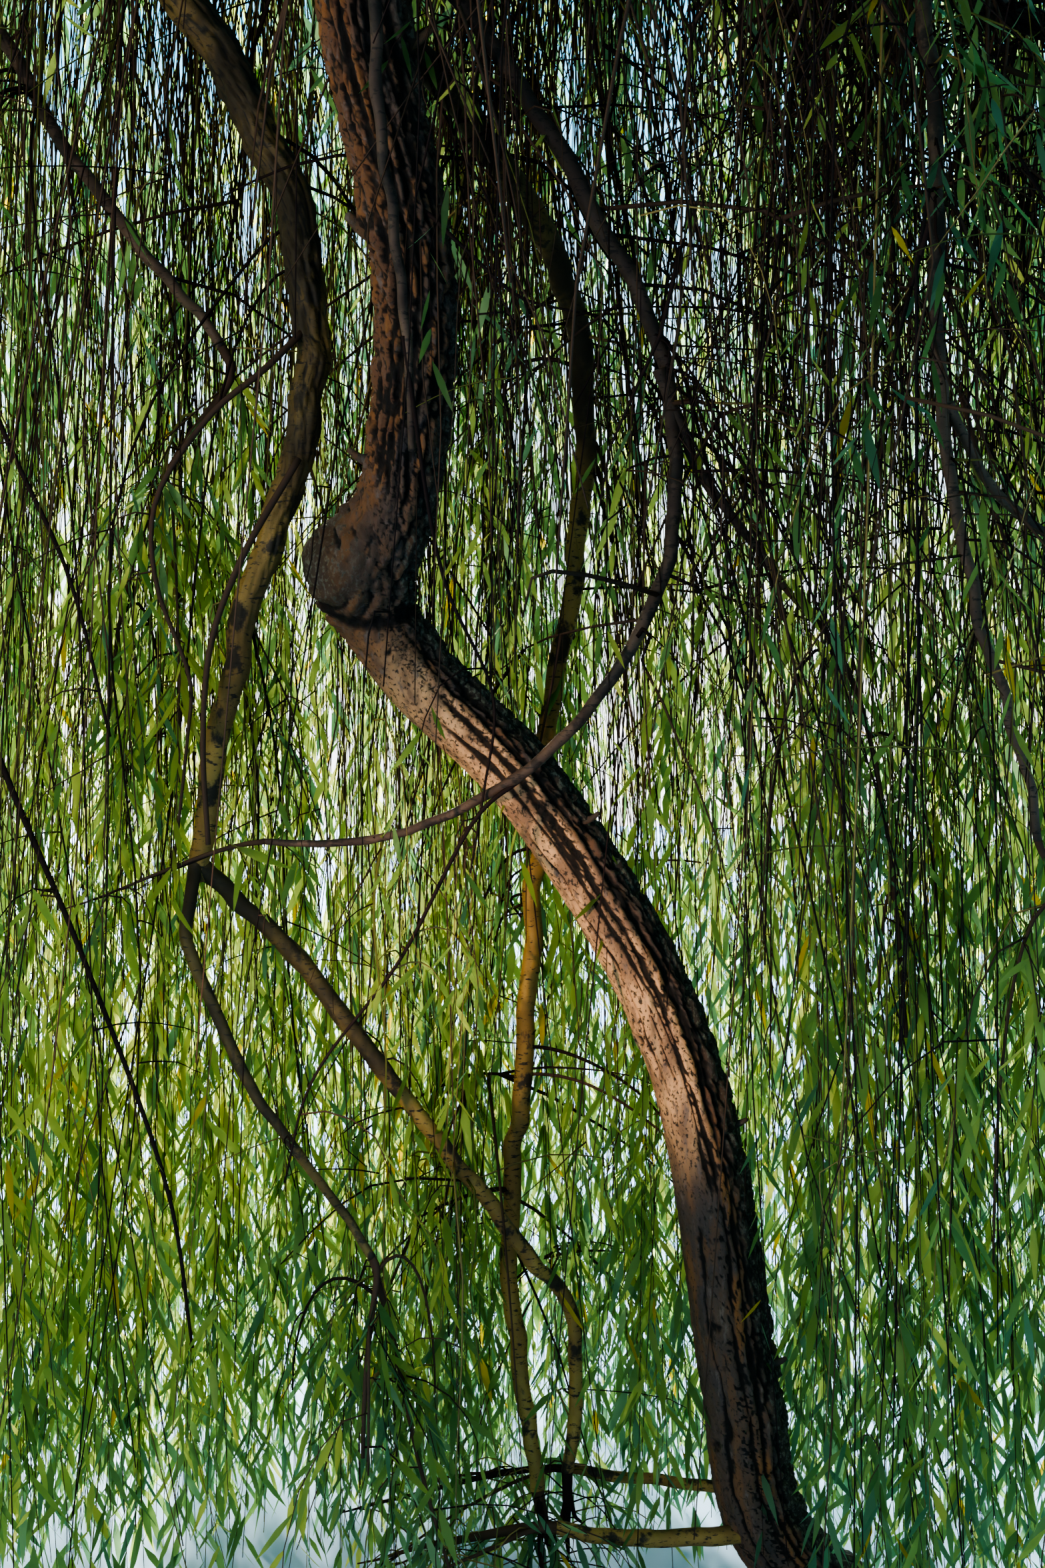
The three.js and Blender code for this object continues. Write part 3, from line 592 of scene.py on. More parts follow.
def trunk_bark():
    skin = TrunkSkin()
    lift, relief, plate = trunk_plates(skin)
    lift, relief = cut_cracks(skin, lift, relief)
    lift, relief = raise_knots(skin, lift, relief)
    lift, relief = fold_knee(skin, lift + trunk_swell(skin), relief)
    values = {"relief": relief, **trunk_colours(skin, plate)}
    attributes = {key: flatten(value, lift.shape) for key, value in values.items()}
    piece = mesh_piece("trunk_bark", *bark_grid(skin, lift), [OLD_BARK], attributes=attributes)
    cut_level(piece)
    dress(piece, "bark", ["trunk"])


# Short broken stubs on the trunk: height, place across, length, radius.
STUBS = [
    (2.69, -0.93, 0.042, 0.011), (2.34, -0.97, 0.030, 0.007), (2.08, -0.99, 0.040, 0.006),
    (1.02, 0.93, 0.020, 0.006), (3.40, 0.90, 0.035, 0.009), (0.50, 0.96, 0.018, 0.006),
    (1.66, 0.80, 0.025, 0.006), (2.95, 0.97, 0.030, 0.007),
]


def stub_lines():
    """Adds a centre line for each stub and gives their names."""
    shares = np.linspace(0, 1, 200)
    names = []
    for k, (height, place, length, radius) in enumerate(STUBS):
        centre = trunk_line.place_at_height(height)
        girth = float(trunk_line.radius(np.interp(height, trunk_line.at(shares)[:, 2], shares)))
        toward = unit(np.array([place, -math.sqrt(1 - place * place), 0.25]))
        ends = [
            (centre + toward * (girth - 0.02), 1.5),
            (centre + toward * (girth + 0.25 * length), 1.1),
            (centre + toward * (girth + length) + UP * 0.3 * length, 0.7),
        ]
        names.append(f"stub_{k + 1}")
        lines[names[-1]] = Line([[*(at / MM), radius / MM * thick] for at, thick in ends])
    return names


# Limbs of young bark that turn dark upwards, as old bark and as painted shade over their upper parts: the
# heights between which they do.
AGED_AND_SHADED = {
    "left_bough": (2.2, 2.6), "middle_bough": (2.3, 2.5), "left_inner_fork": (1.0, 1.2),
    "left_outer_fork": (0.8, 1.0),
}
# Heights above the crown, for limbs that stay young and get no painted shade.
ABOVE_THE_CROWN = (8, 9)


def limb_parts(name, seed):
    """A limb's vertices, faces and attributes: furrowed where thick, smooth with low bumps where thin."""
    line = lines[name]
    thickest = float(line.radii.max())
    sides = int(np.clip(2 * math.pi * thickest / 0.0052, 10, 56))
    skin = Skin(line, sides, max(0.0075, 0.28 * thickest))
    steps = skin.run[:, :1] / [[0.16]]
    free = np.minimum(skin.run[:, :1] / 0.1, 1) * np.minimum((skin.total - skin.run[:, :1]) / 0.08, 1)
    for k in range(3):
        place = np.concatenate([steps, 0 * steps + 7 * k, 0 * steps], 1)
        bend = noise(place, seed + 51) + 0.5 * noise(place * [2.7, 1, 1], seed + 52)
        skin.centre[:, k] += free[:, 0] * bend * (0.004 + 0.30 * min(thickest, 0.03))
    thick = smooth(skin.radius, 0.022, 0.037)
    size = max(0.35, min(1.0, thickest / 0.045))
    coarse_lift, relief, plate = old_bark(skin, seed, 0.022 * size, 0.08 * size, 0.0075 * size, 0.0004)
    wander = noise(skin.bark / [0.06, 0.06, 0.22], seed + 31)
    node_at = noise(skin.bark / [0.2, 0.2, 0.055], seed + 33)
    node = smooth(node_at, 0.45, 0.75)
    lift = thick * coarse_lift + (1 - thick) * (0.06 * skin.radius * wander + 0.10 * skin.radius * node)
    root = np.exp(-skin.run / (2.2 * skin.radius[0, 0]))
    lift = lift + 0.35 * skin.radius * root
    relief = lerp(1 - 0.35 * node, relief, thick)
    # Darker on the side facing up and to the right: moss, and painted shade.
    moss_and_shade = smooth(skin.outward @ unit(np.array([0.5, 0.3, 0.8])) + 0.4 * wander, 0.35, 0.95)
    vertices, faces = bark_grid(skin, lift)
    values = {
        "relief": relief, "plate": plate, "moss_and_shade": moss_and_shade, "bare": 0 * relief,
        "rust": smooth(wander, 0.2, 0.6), "red": 0 * relief,
        # Dark where the limb is thick and old, and above its given heights as painted shade.
        "age_and_shade": np.maximum(thick, smooth(skin.height + 0.15 * wander, *AGED_AND_SHADED.get(name, ABOVE_THE_CROWN))),
    }
    return vertices, faces, {key: flatten(value, lift.shape) for key, value in values.items()}


def bark_piece(name, limbs, material, slot, nodes, seed):
    parts = [limb_parts(limb, seed + 7 * k) for k, limb in enumerate(limbs)]
    attributes = {key: np.concatenate([part[2][key] for part in parts]) for key in parts[0][2]}
    dress(mesh_piece(name, *join_parts(parts), [material], attributes=attributes), slot, nodes)


# Masses: main twigs by the solids' rule, then finer twigs and leaves


def crown_reach(height):
    rise = np.maximum(0, (height - DOME_FOOT) / (CROWN_TOP - DOME_FOOT))
    return CROWN_RADIUS * np.sqrt(np.maximum(0, 1 - rise * rise))


def in_wedge(point, azimuth, half_angle, inner_at, outer_at, floor):
    x, y = point[0] - CROWN[0], point[1] - CROWN[1]
    reach = math.hypot(x, y)
    turn = math.remainder(math.atan2(y, x) - azimuth, 2 * math.pi)
    sideways = reach * math.sin(half_angle - abs(turn))
    within = inner_at(point[2]) < reach < outer_at(point[2]) and point[2] > floor
    return within and abs(turn) < half_angle and sideways > MASS_GAP


def twig_controls(root, away, low, rise):
    """A hanging twig: it leaves the stem sideways and upwards, bows over, and falls to its lowest point."""
    drop = root[..., 2] - low
    fall = root + away
    shoulder = np.concatenate([fall[..., :2], (root[..., 2] - 0.3 * drop)[..., None]], -1)
    end = np.concatenate([fall[..., :2], np.asarray(low)[..., None]], -1)
    over = root + 0.6 * away + UP * np.asarray(rise)[..., None]
    return np.stack([root, over, shoulder, end], -2)


def stem_from(limb, over, end):
    line = lines[limb]
    direction = line.direction(1)[0]
    start = line.points[-1] + SEAT_GAP * direction
    lead = start + direction * np.linalg.norm(over - start) * 0.6
    return np.array([start, lead, over, end])


def sideways_place(k, count, half_width):
    order = count - 1 - (k - 1) // 2 if k % 2 else k // 2
    return half_width * ((2 * order + 1) / count - 1)


def main_twigs(stem, rule, away, low_at, in_space, random):
    """The main twigs of a mass, with the solids' own draws."""
    stem_points = bezier(stem, np.linspace(0, 1, STEM_STEPS + 1))
    found = []
    for k in range(rule["twigs"]):
        share = 0.1 + 0.88 * (k + 0.5) / rule["twigs"]
        step = min(int(share * STEM_STEPS), STEM_STEPS - 1)
        root = lerp(stem_points[step], stem_points[step + 1], share * STEM_STEPS - step)
        for _ in range(TWIG_TRIES):
            aside, low = away(k, share), low_at(root)
            controls = twig_controls(root, aside, low, 0.050 + 0.070 * random())
            if all(in_space(point) for point in bezier(controls, np.array([0.25, 0.5, 0.75, 1]))):
                for _ in range(2 * rule["leaves"]):
                    random()
                found.append(controls)
                break
    return np.array(found)


def curtain_growth(index):
    azimuth, random = curtain_azimuth(index), random_stream(SOLID_SEEDS["curtain"] + index)
    rule, tangent = CURTAIN_RULE, heading(azimuth + math.pi / 2)

    def away(k, share):
        out = lerp(*rule["outward"], share) + CURTAIN_JITTER * (random() - 0.5)
        return tangent * sideways_place(k, rule["twigs"], rule["spread"]) + heading(azimuth) * out

    def inner(height):
        return DOME_OUTER + MASS_GAP if height > DOME_FLOOR - MASS_GAP else CURTAIN_INNER

    def in_space(point):
        return in_wedge(point, azimuth, math.pi / CURTAIN_COUNT, inner, crown_reach, HEM_LOW)

    def low_at(root):
        return lerp(HEM_LOW, HEM_HIGH, random()) + LEAF_LENGTH

    over, end = crown_place(azimuth, *rule["over"]), crown_place(azimuth, *rule["end"])
    stem = stem_from(f"curtain_bough_{index + 1}", over, end)
    return stem, main_twigs(stem, rule, away, low_at, in_space, random)


def dome_growth(index):
    azimuth, random = dome_azimuth(index), random_stream(SOLID_SEEDS["dome"] + index)
    rule, tangent = DOME_RULE, heading(azimuth + math.pi / 2)

    def away(k, share):
        out = 0.2 * rule["spread"] * random()
        return tangent * sideways_place(k, rule["twigs"], rule["spread"]) + heading(azimuth) * out

    def in_space(point):
        outer = min(DOME_OUTER, crown_reach(point[2]))
        half_angle = math.pi / DOME_COUNT
        return in_wedge(point, azimuth, half_angle, lambda _: DOME_INNER, lambda _: outer, DOME_FLOOR)

    def low_at(root):
        return max(DOME_FLOOR + LEAF_LENGTH, root[2] - rule["drop"])

    over, end = crown_place(azimuth, *rule["over"]), crown_place(azimuth, *rule["end"])
    stem = stem_from(f"dome_bough_{index + 1}", over, end)
    return stem, main_twigs(stem, rule, away, low_at, in_space, random)


def tuft_growth():
    random, rule = random_stream(SOLID_SEEDS["tuft"]), TUFT_RULE
    top = np.array([*CROWN, CROWN_TOP - 2 * rule["drop"]])
    stem = stem_from("trunk", lerp(trunk_line.points[-1], top, 0.6), top)

    def away(k, share):
        return heading(k * GOLDEN_TURN) * rule["spread"]

    def low_at(root):
        return max(TUFT_FLOOR + SMALL_LEAF_LENGTH, root[2] - rule["drop"])

    def in_space(point):
        return math.hypot(*(point[:2] - CROWN)) < DOME_INNER - MASS_GAP and point[2] > TUFT_FLOOR

    return stem, main_twigs(stem, rule, away, low_at, in_space, random)


def inner_growth(index, name):
    limb, x, y, radius, top, bottom = INNER_MASSES[name]
    random, rule = random_stream(SOLID_SEEDS["inner"] + index), INNER_RULE
    tip = lines[limb].points[-1]
    over = np.array([x, y, min(top - rule["least_drop"], tip[2] - rule["least_drop"] / 2)])
    end = np.array([x, y, lerp(top, bottom, 0.55)])
    stem = stem_from(limb, lerp(tip, over, 0.8), end)

    def away(k, share):
        spread = lerp(*rule["spread"], random())
        return heading(k * GOLDEN_TURN + random()) * radius * spread

    def low_at(root):
        return min(root[2] - rule["least_drop"], max(bottom + SMALL_LEAF_LENGTH, root[2] - rule["drop"]))

    def in_space(point):
        inside = math.hypot(point[0] - x, point[1] - y) < radius
        return inside and bottom < point[2] < top + rule["least_drop"]

    return stem, main_twigs(stem, rule, away, low_at, in_space, random)


def polyline_at(points, share):
    """Places and directions on polylines (w, n, 3) at shares (w, m) of their points."""
    place = np.clip(share, 0, 1) * (points.shape[1] - 1)
    step = np.minimum(place.astype(int), points.shape[1] - 2)
    row = np.arange(len(points))[:, None]
    start, end = points[row, step], points[row, step + 1]
    return lerp(start, end, (place - step)[..., None]), unit(end - start)


def wiggle(points, draw, size):
    """Bends polylines gently sideways, more towards their tips."""
    count, steps = points.shape[:2]
    t = np.linspace(0, 1, steps)[None, :, None]
    for turns in (1.3, 3.1):
        phase = draw.uniform(0, 2 * math.pi, (count, 1, 2))
        swing = draw.normal(0, size / turns, (count, 1, 2)) * np.sin(turns * math.pi * t + phase) * t
        swing = swing - swing[:, :1]
        points = points + np.concatenate([swing, np.zeros((count, steps, 1))], -1)
    return points


def keep_inside(points, inner, outer):
    """Moves points level so that they stay between two distances from the crown's axis."""
    flat = points[..., :2] - CROWN
    reach = np.maximum(np.linalg.norm(flat, axis=-1), 1e-6)
    kept = np.clip(reach, inner, np.minimum(outer, crown_reach(points[..., 2]) - 0.04))
    held = points.copy()
    held[..., :2] = CROWN + flat * (kept / reach)[..., None]
    return held


def tubes(points, radius_start, radius_end, sides=3):
    """Closed round twigs along polylines (w, n, 3): vertices and triangles."""
    count, steps = points.shape[:2]
    along = unit(np.gradient(points, axis=1))
    side = np.cross(UP, points[:, -1] - points[:, 0] + [1e-4, 2e-4, 0])
    side = unit(side)[:, None]
    side = unit(side - along * np.sum(side * along, -1, keepdims=True))
    across = np.cross(along, side)
    angle = np.arange(sides) * 2 * math.pi / sides
    outward = np.cos(angle)[:, None] * side[:, :, None] + np.sin(angle)[:, None] * across[:, :, None]
    start = np.broadcast_to(radius_start, count)[:, None]
    end = np.broadcast_to(radius_end, count)[:, None]
    radius = lerp(start, end, np.linspace(0, 1, steps)[None])
    vertices = points[:, :, None] + outward * radius[:, :, None, None]
    fan = np.arange(1, sides - 1)
    root_cap = np.stack([0 * fan, fan + 1, fan], -1)
    tip_cap = np.stack([0 * fan, fan, fan + 1], -1) + (steps - 1) * sides
    faces = np.concatenate([tube_faces(steps, sides), root_cap, tip_cap])
    return vertices.reshape(-1, 3), repeated(faces, count, steps * sides), len(faces)


# Places along a leaf with its share of the full width there: plain leaves, and fuller ones for close by.
LEAF_PLAIN = ((0.30, 1.0), (0.66, 0.72))
LEAF_FULL = ((0.16, 0.62), (0.42, 1.0), (0.74, 0.60))


def leaf_mesh(root, along, face, length, width, curl, twist, outline):
    """Lance-shaped leaves of a few triangles, each bent and turned along its length."""
    side = unit(np.cross(face, along))
    normal = np.cross(along, side)
    vertices = [root]
    for t, share in outline:
        turn = (twist * t)[:, None]
        edge = side * np.cos(turn) + normal * np.sin(turn)
        middle = root + along * (length * t)[:, None] + normal * (curl * length * t * t)[:, None]
        half = edge * (0.5 * share * width)[:, None]
        vertices += [middle - half, middle + half]
    vertices.append(root + along * length[:, None] + normal * (curl * length)[:, None])
    vertices = np.stack(vertices, 1)
    corners = vertices.shape[1]
    between = [[[k, k + 1, k + 3], [k, k + 3, k + 2]] for k in range(1, corners - 3, 2)]
    faces = np.array([[0, 2, 1], *sum(between, []), [corners - 3, corners - 2, corners - 1]])
    return vertices.reshape(-1, 3), repeated(faces, len(root), corners), len(faces)


class Foliage:
    """Gathers twigs and leaves of one group of masses, each with a tone, to become pieces."""

    def __init__(self):
        self.twigs, self.leaves = [], []

    def add_twigs(self, points, radius_start, radius_end, tone, sides=3):
        if not len(points):
            return
        vertices, faces, each = tubes(points, radius_start, radius_end, sides)
        self.twigs.append((vertices, faces, np.repeat(np.broadcast_to(tone, len(points)), each)))

    def add_mixed(self, points, radius_start, radius_end, draw, sides=3):
        """Twigs of which each has any of the tones by chance."""
        self.add_twigs(points, radius_start, radius_end, mixed_tones(len(points), draw), sides)

    def add_leaves(self, points, draw, spacing, length, bare=(0.03, 0.4), outline=LEAF_PLAIN):
        """Leaves by turns down twigs from where the bare part ends, smaller towards the tip."""
        if not len(points):
            return
        cool = coolness(points, draw)
        run = np.linalg.norm(np.diff(points, axis=1), axis=2).sum(1)
        start = draw.uniform(*bare, (len(points), 1))
        most = max(2, int(run.max() * (1 - start.min()) / spacing))
        order = np.arange(most)[None] + draw.uniform(-0.3, 0.3, (len(points), most))
        share = start + order * spacing / np.maximum(run[:, None], 1e-6)
        shown = (share < 1.0) & (share > 0)
        root, direction = polyline_at(points, share)
        turn = GOLDEN_TURN * np.arange(most)[None] + draw.uniform(0, 2 * math.pi, (len(points), 1))
        turn = turn + draw.uniform(-0.5, 0.5, turn.shape)
        out = LEAF_SPLAY * draw.uniform(0.5, 1.5, turn.shape)
        hang = draw.uniform(0.35, 1.0, turn.shape)
        along = unit(direction * 0.6 + heading(turn) * out[..., None] - UP * hang[..., None])
        face = unit(heading(turn + draw.normal(0, 0.7, turn.shape)) + UP * 0.35)
        size = length * draw.uniform(0.72, 1.2, turn.shape) * lerp(1.0, 0.68, np.clip(share, 0, 1) ** 2)
        wide = size * draw.uniform(0.115, 0.165, turn.shape)
        curl = draw.uniform(-0.10, 0.16, turn.shape)
        twist = draw.normal(0, 0.7, turn.shape)
        tones = leaf_tones(cool[:, None], root[..., 2])
        odd = draw.random(turn.shape)
        tones = np.where(odd < ODD_SHARE, (tones + 1) % YELLOW, tones)
        tones = np.where(odd > 1 - YELLOW_SHARE, YELLOW, tones)
        shown = shown & (root[..., 2] + along[..., 2] * size > LOWEST)
        picked = [value[shown] for value in (root, along, face, size, wide, curl, twist)]
        vertices, faces, each = leaf_mesh(*picked, outline)
        self.leaves.append((vertices, faces, np.repeat(tones[shown], each)))

    def pieces(self, name, nodes):
        """One piece of all the twigs and one of all the leaves."""
        for kind, parts, materials, slot in (
            ("twigs", self.twigs, TWIG_TONES, "young_bark"),
            ("leaves", self.leaves, LEAF_TONES, "foliage"),
        ):
            tones = np.concatenate([part[2] for part in parts])
            joined = join_parts(parts)
            piece = mesh_piece(f"{name}_{kind}", *joined, materials, tones, is_smooth=kind == "twigs")
            dress(piece, slot, nodes)


SEEDS = {
    "curtain": 500, "dome": 600, "tuft": 700, "inner": 800, "tangle": 900, "run_out": 950, "arcs": 970,
    "skirt": 1000,
}
LOWEST = 0.015
LEAF_SPLAY = 0.7
# The last of the leaf tones, autumn yellow, and the shares of leaves of a neighbouring tone and of that one.
YELLOW = 5
ODD_SHARE = 0.13
YELLOW_SHARE = 0.012
WHIP_STEPS = 6
# Points of a branch, and of a line that others leave from.
BRANCH_POINTS = 11
CARRIER_POINTS = 15
# Radii of a main twig at its two ends, and of a fine hanging one at its root.
MAIN_TWIG = (0.0065, 0.003)
FINE_TWIG = 0.0019
TO_HEM = "to the hem"
# The camera, with its focal length and middle in pixels of the photo, and what counts as in view of it.
EYE = np.array([-0.658, -3.3, 1.75])
FOCAL, MIDDLE = 2287, (784, 1176)
VIEW_HALF = (830, 1230)
VIEW_POINTS = 22
NEAREST = 2.6
ROOM_AT_EYE = 0.4


def seen_at(points):
    """Where the photo shows points: across, down, and how far away."""
    away = points[..., 1] - EYE[1]
    ahead = np.maximum(away, 0.05)
    across = MIDDLE[0] + FOCAL * (points[..., 0] - EYE[0]) / ahead
    return across, MIDDLE[1] - FOCAL * (points[..., 2] - EYE[2]) / ahead, away


def seen_line(name, first, last, margin):
    """A limb as the photo shows it, from its top down: across, down, away, half its width in pixels."""
    t = np.linspace(first, last, 80)
    across, down, away = seen_at(lines[name].at(t))
    half = FOCAL * lines[name].radius(t) / np.maximum(away, 1) + margin
    return np.array([across, down, away, half])


OPEN_VIEWS = [
    seen_line("trunk", 1, 0, 18), seen_line("left_bough", 0.42, 1, 8), seen_line("front_bough", 0.25, 0.8, 3),
    seen_line("middle_bough", 0.3, 1, 3), seen_line("left_inner_fork", 0, 1, 3),
]


def keeps_view(points, draw, nearest, crossing):
    """True for twigs which leave the photo's view open: none near the camera, few in front of a limb."""
    shares = np.broadcast_to(np.linspace(0, 1, VIEW_POINTS), (len(points), VIEW_POINTS))
    fine, _ = polyline_at(points, shares)
    across, down, away = seen_at(fine)
    in_view = (np.abs(across - MIDDLE[0]) < VIEW_HALF[0]) & (np.abs(down - MIDDLE[1]) < VIEW_HALF[1])
    shown = (away > 0.05) & in_view
    near = (shown & (away < nearest)) | (np.linalg.norm(fine - EYE, axis=-1) < ROOM_AT_EYE)
    kept = ~near.any(1)
    for line in OPEN_VIEWS:
        place, depth, half = (np.interp(down, line[1], line[k], right=1e9 * (k == 0)) for k in (0, 2, 3))
        before = shown & (away < depth - 0.01) & (np.abs(across - place) < half)
        kept = kept & (~before.any(1) | (draw.random(len(points)) < crossing))
    return kept


def coolness(points, draw):
    """How cool each spray's green is: by chance, and more so on the right."""
    return 0.24 * (points[:, points.shape[1] // 2, 0] + 0.6) + draw.normal(0, 0.75, len(points))


def leaf_tones(cool, height):
    """The tone of leaves at a height: freshest from 1.0 to 2.1 metres up, cooler and darker above as painted
    shade, and cooler below.
    """
    # Painted shade: leaves above 2.1 metres take cooler, darker tones.
    cool = cool + np.minimum(1.0 * np.maximum(height - 2.1, 0), 0.8) + 1.3 * np.maximum(1.0 - height, 0)
    return np.clip(np.round(1.15 + 1.1 * cool), 0, YELLOW - 1).astype(int)


def mixed_tones(count, draw):
    return draw.choice(len(TWIG_TONES), count, p=TWIG_SHARES)


def dark_tones(count, draw):
    return draw.integers(0, 2, count)


def hanging(
    carriers, draw, count, hold, drop, aside, lowest, bend=0.030, nearest=NEAREST, crossing=0.06, lean=0.0,
    bunch=1, steps=WHIP_STEPS,
):
    """Finer twigs that leave the main ones by turns and hang down: their points. drop is a range of lengths,
    or TO_HEM for twigs of which most reach the lowest height. Twigs of one bunch keep together, and lean the
    same way."""
    group = draw.integers(0, max(1, count // bunch), count) if bunch > 1 else np.arange(count)
    which = draw.integers(0, len(carriers), count)[group]
    place = draw.uniform(0.02, 0.98, (count, 1))[group] + draw.normal(0, 0.02, (count, 1)) * (bunch > 1)
    root = polyline_at(carriers[which], place)[0][:, 0]
    turn = draw.uniform(0, 2 * math.pi, count)[group] + draw.normal(0, 0.3, count) * (bunch > 1)
    away = heading(turn) * (draw.uniform(*aside, count)[group] * draw.uniform(0.8, 1.2, count))[:, None]
    floor = lerp(*lowest, draw.random(count) ** 1.6)
    if drop is TO_HEM:
        is_whole = draw.random(count) < 0.72
        low = lerp(root[:, 2], floor, np.where(is_whole, 1.0, draw.uniform(0.45, 1.0, count)))
    else:
        low = np.maximum(root[:, 2] - draw.uniform(*drop, count), floor)
    low = np.maximum(np.minimum(low, root[:, 2] - 0.08), 0.02)
    controls = twig_controls(root, away, low, draw.uniform(0.005, 0.05, count))
    tilt = lean * (draw.normal(0, 1, (count, 2))[group] + draw.normal(0, 0.35, (count, 2)))
    tilt = tilt * (root[:, 2] - low)[:, None]
    controls[:, 2, :2] += 0.35 * tilt
    controls[:, 3, :2] += tilt
    points = hold(wiggle(bezier(controls, np.linspace(0, 1, steps + 1)), draw, bend))
    points[:, 0] = root
    return points[keeps_view(points, draw, nearest, crossing)]


def whips(
    foliage, carriers, draw, count, hold, leaf, spacing, bare=(0.03, 0.4), radius=FINE_TWIG,
    outline=LEAF_PLAIN, **rule,
):
    """Hanging twigs with leaves along them."""
    points = hanging(carriers, draw, count, hold, **rule)
    size = draw.uniform(0.7, 1.5, len(points))
    foliage.add_mixed(points, radius * size, 0.4 * radius, draw)
    foliage.add_leaves(points, draw, spacing, leaf, bare, outline)


def side_branches(carriers, azimuth, draw, inner, outer, count, sideways, outward, rise, drop):
    """Branches that leave boughs to both sides by turns, rise a little and bow over: their points."""
    which = draw.integers(0, len(carriers), count)
    root = polyline_at(carriers[which], draw.uniform(0.0, 0.97, (count, 1)))[0][:, 0]
    hand = np.where(np.arange(count) % 2, 1.0, -1.0)
    away = heading(azimuth + math.pi / 2) * (hand * draw.uniform(*sideways, count))[:, None]
    away = away + heading(azimuth) * draw.uniform(*outward, count)[:, None]
    controls = twig_controls(root, away, root[:, 2] - draw.uniform(*drop, count), draw.uniform(*rise, count))
    points = keep_inside(wiggle(bezier(controls, np.linspace(0, 1, BRANCH_POINTS)), draw, 0.04), inner, outer)
    points[:, 0] = root
    return points[keeps_view(points, draw, 1.5, 0.2)]


def held_between(inner, outer):
    """A rule that keeps points between two distances from the crown's axis."""
    return lambda points: keep_inside(points, inner, outer)


def part_of(name, first, last, count=CARRIER_POINTS):
    """The stretch of a limb between two shares of its length, as one polyline."""
    return lines[name].at(np.linspace(first, last, count))[None]


CURTAIN_REACH = CROWN_RADIUS - 0.22
# Shares of the usual number of whips, by the curtain's index, for those that don't have the common share.
CURTAIN_SHARE = {1: 0.76, 2: 0.62, 3: 0.78, 7: 0.95}
COMMON_SHARE = 0.75
# The curtains that the photo shows, which have a skirt on their inside, and the skirts' shares of twigs.
SKIRT_SHARE = {1: 1.3, 2: 0.7, 3: 1.2}
LONG_BARE = (1, 2)
CURTAIN_WHIPS = {"drop": TO_HEM, "lowest": (0.03, 0.38), "bunch": 4, "lean": 0.05, "bend": 0.045}
SHOULDER_WHIPS = {**CURTAIN_WHIPS, "drop": (0.3, 1.3), "lowest": (2.7, 3.2), "aside": (0.05, 0.35)}
SHOULDER_SHOOTS = (
    {
        "count": 14, "sideways": (0.25, 0.9), "outward": (-0.1, 0.45), "rise": (0.06, 0.16),
        "drop": (0.25, 1.1),
    },
    {"count": 16, "sideways": (0.05, 0.8), "outward": (0.0, 0.6), "rise": (0.35, 0.85), "drop": (0.0, 0.5)},
)
BETWEEN_SHOOTS = {
    "count": 8, "sideways": (0.55, 0.95), "outward": (-0.1, 0.2), "rise": (0.06, 0.2), "drop": (1.2, 2.4),
}
SKIRT_SHOOTS = {
    "count": 12, "sideways": (0.25, 0.85), "outward": (0.0, 0.35), "rise": (0.03, 0.12), "drop": (0.3, 1.0),
}
# Two layers of a skirt: how many twigs, between which distances from the axis, and how much of each is bare.
SKIRT_LAYERS = ((150, 1.5, 2.3, (0.70, 0.92)), (190, 1.1, 1.7, (0.80, 0.93)))


def grow_curtain(index, foliage):
    """A curtain: stem and main twigs, branches over the bough and between, and whips, most to the hem."""
    draw = np.random.default_rng(SEEDS["curtain"] + index)
    stem, twigs = curtain_growth(index)
    near, azimuth = index in SKIRT_SHARE, curtain_azimuth(index)
    share = CURTAIN_SHARE.get(index, COMMON_SHARE)
    hold = held_between(CURTAIN_INNER + 0.03, CURTAIN_REACH)
    stem_points = bezier(stem[None], np.linspace(0, 1, 13))
    twig_points = bezier(twigs, np.linspace(0, 1, CARRIER_POINTS))
    twig_points = hold(twig_points + wiggle(np.zeros_like(twig_points), draw, 0.05))
    foliage.add_twigs(stem_points, 0.017, 0.007, 1, 7)
    foliage.add_mixed(twig_points, *MAIN_TWIG, draw, 5)
    carriers = np.concatenate([twig_points, bezier(stem[None], np.linspace(0.25, 1, CARRIER_POINTS))])
    leafy = {"leaf": 0.150 if near else 0.155, "spacing": 0.050}
    radius = 0.0021 if near else FINE_TWIG
    whips(
        foliage, carriers, draw, int(175 * share), hold, **leafy, aside=(0.05, 0.6), radius=radius,
        bare=(0.05, 0.65) if index in LONG_BARE else (0.03, 0.45), **CURTAIN_WHIPS,
    )
    bough = f"curtain_bough_{index + 1}"
    stem_start = polyline_at(stem_points, np.linspace(0, 0.7, CARRIER_POINTS)[None])[0]
    boughs = np.concatenate([part_of(bough, 0.3, 1), part_of(bough, 0.5, 1), stem_start])
    shoulder = np.concatenate([
        side_branches(boughs, azimuth, draw, 0.7, CURTAIN_REACH, **shoots) for shoots in SHOULDER_SHOOTS
    ])
    foliage.add_mixed(shoulder, 0.0085, 0.003, draw, 4)
    foliage.add_leaves(shoulder, draw, 0.05, leafy["leaf"] * 1.1, (0.1, 0.4))
    hold_shoulder = held_between(0.9, CURTAIN_REACH)
    whips(foliage, shoulder, draw, 76, hold_shoulder, **leafy, bare=(0.0, 0.15), **SHOULDER_WHIPS)
    between = side_branches(stem_start, azimuth, draw, CURTAIN_INNER, CURTAIN_REACH, **BETWEEN_SHOOTS)
    foliage.add_mixed(between, 0.006, 0.003, draw, 4)
    whips(
        foliage, between, draw, int(105 * share), hold, **leafy, aside=(0.05, 0.4), radius=radius,
        bare=(0.03, 0.55), **CURTAIN_WHIPS,
    )
    if near:
        grow_skirt(index, foliage)


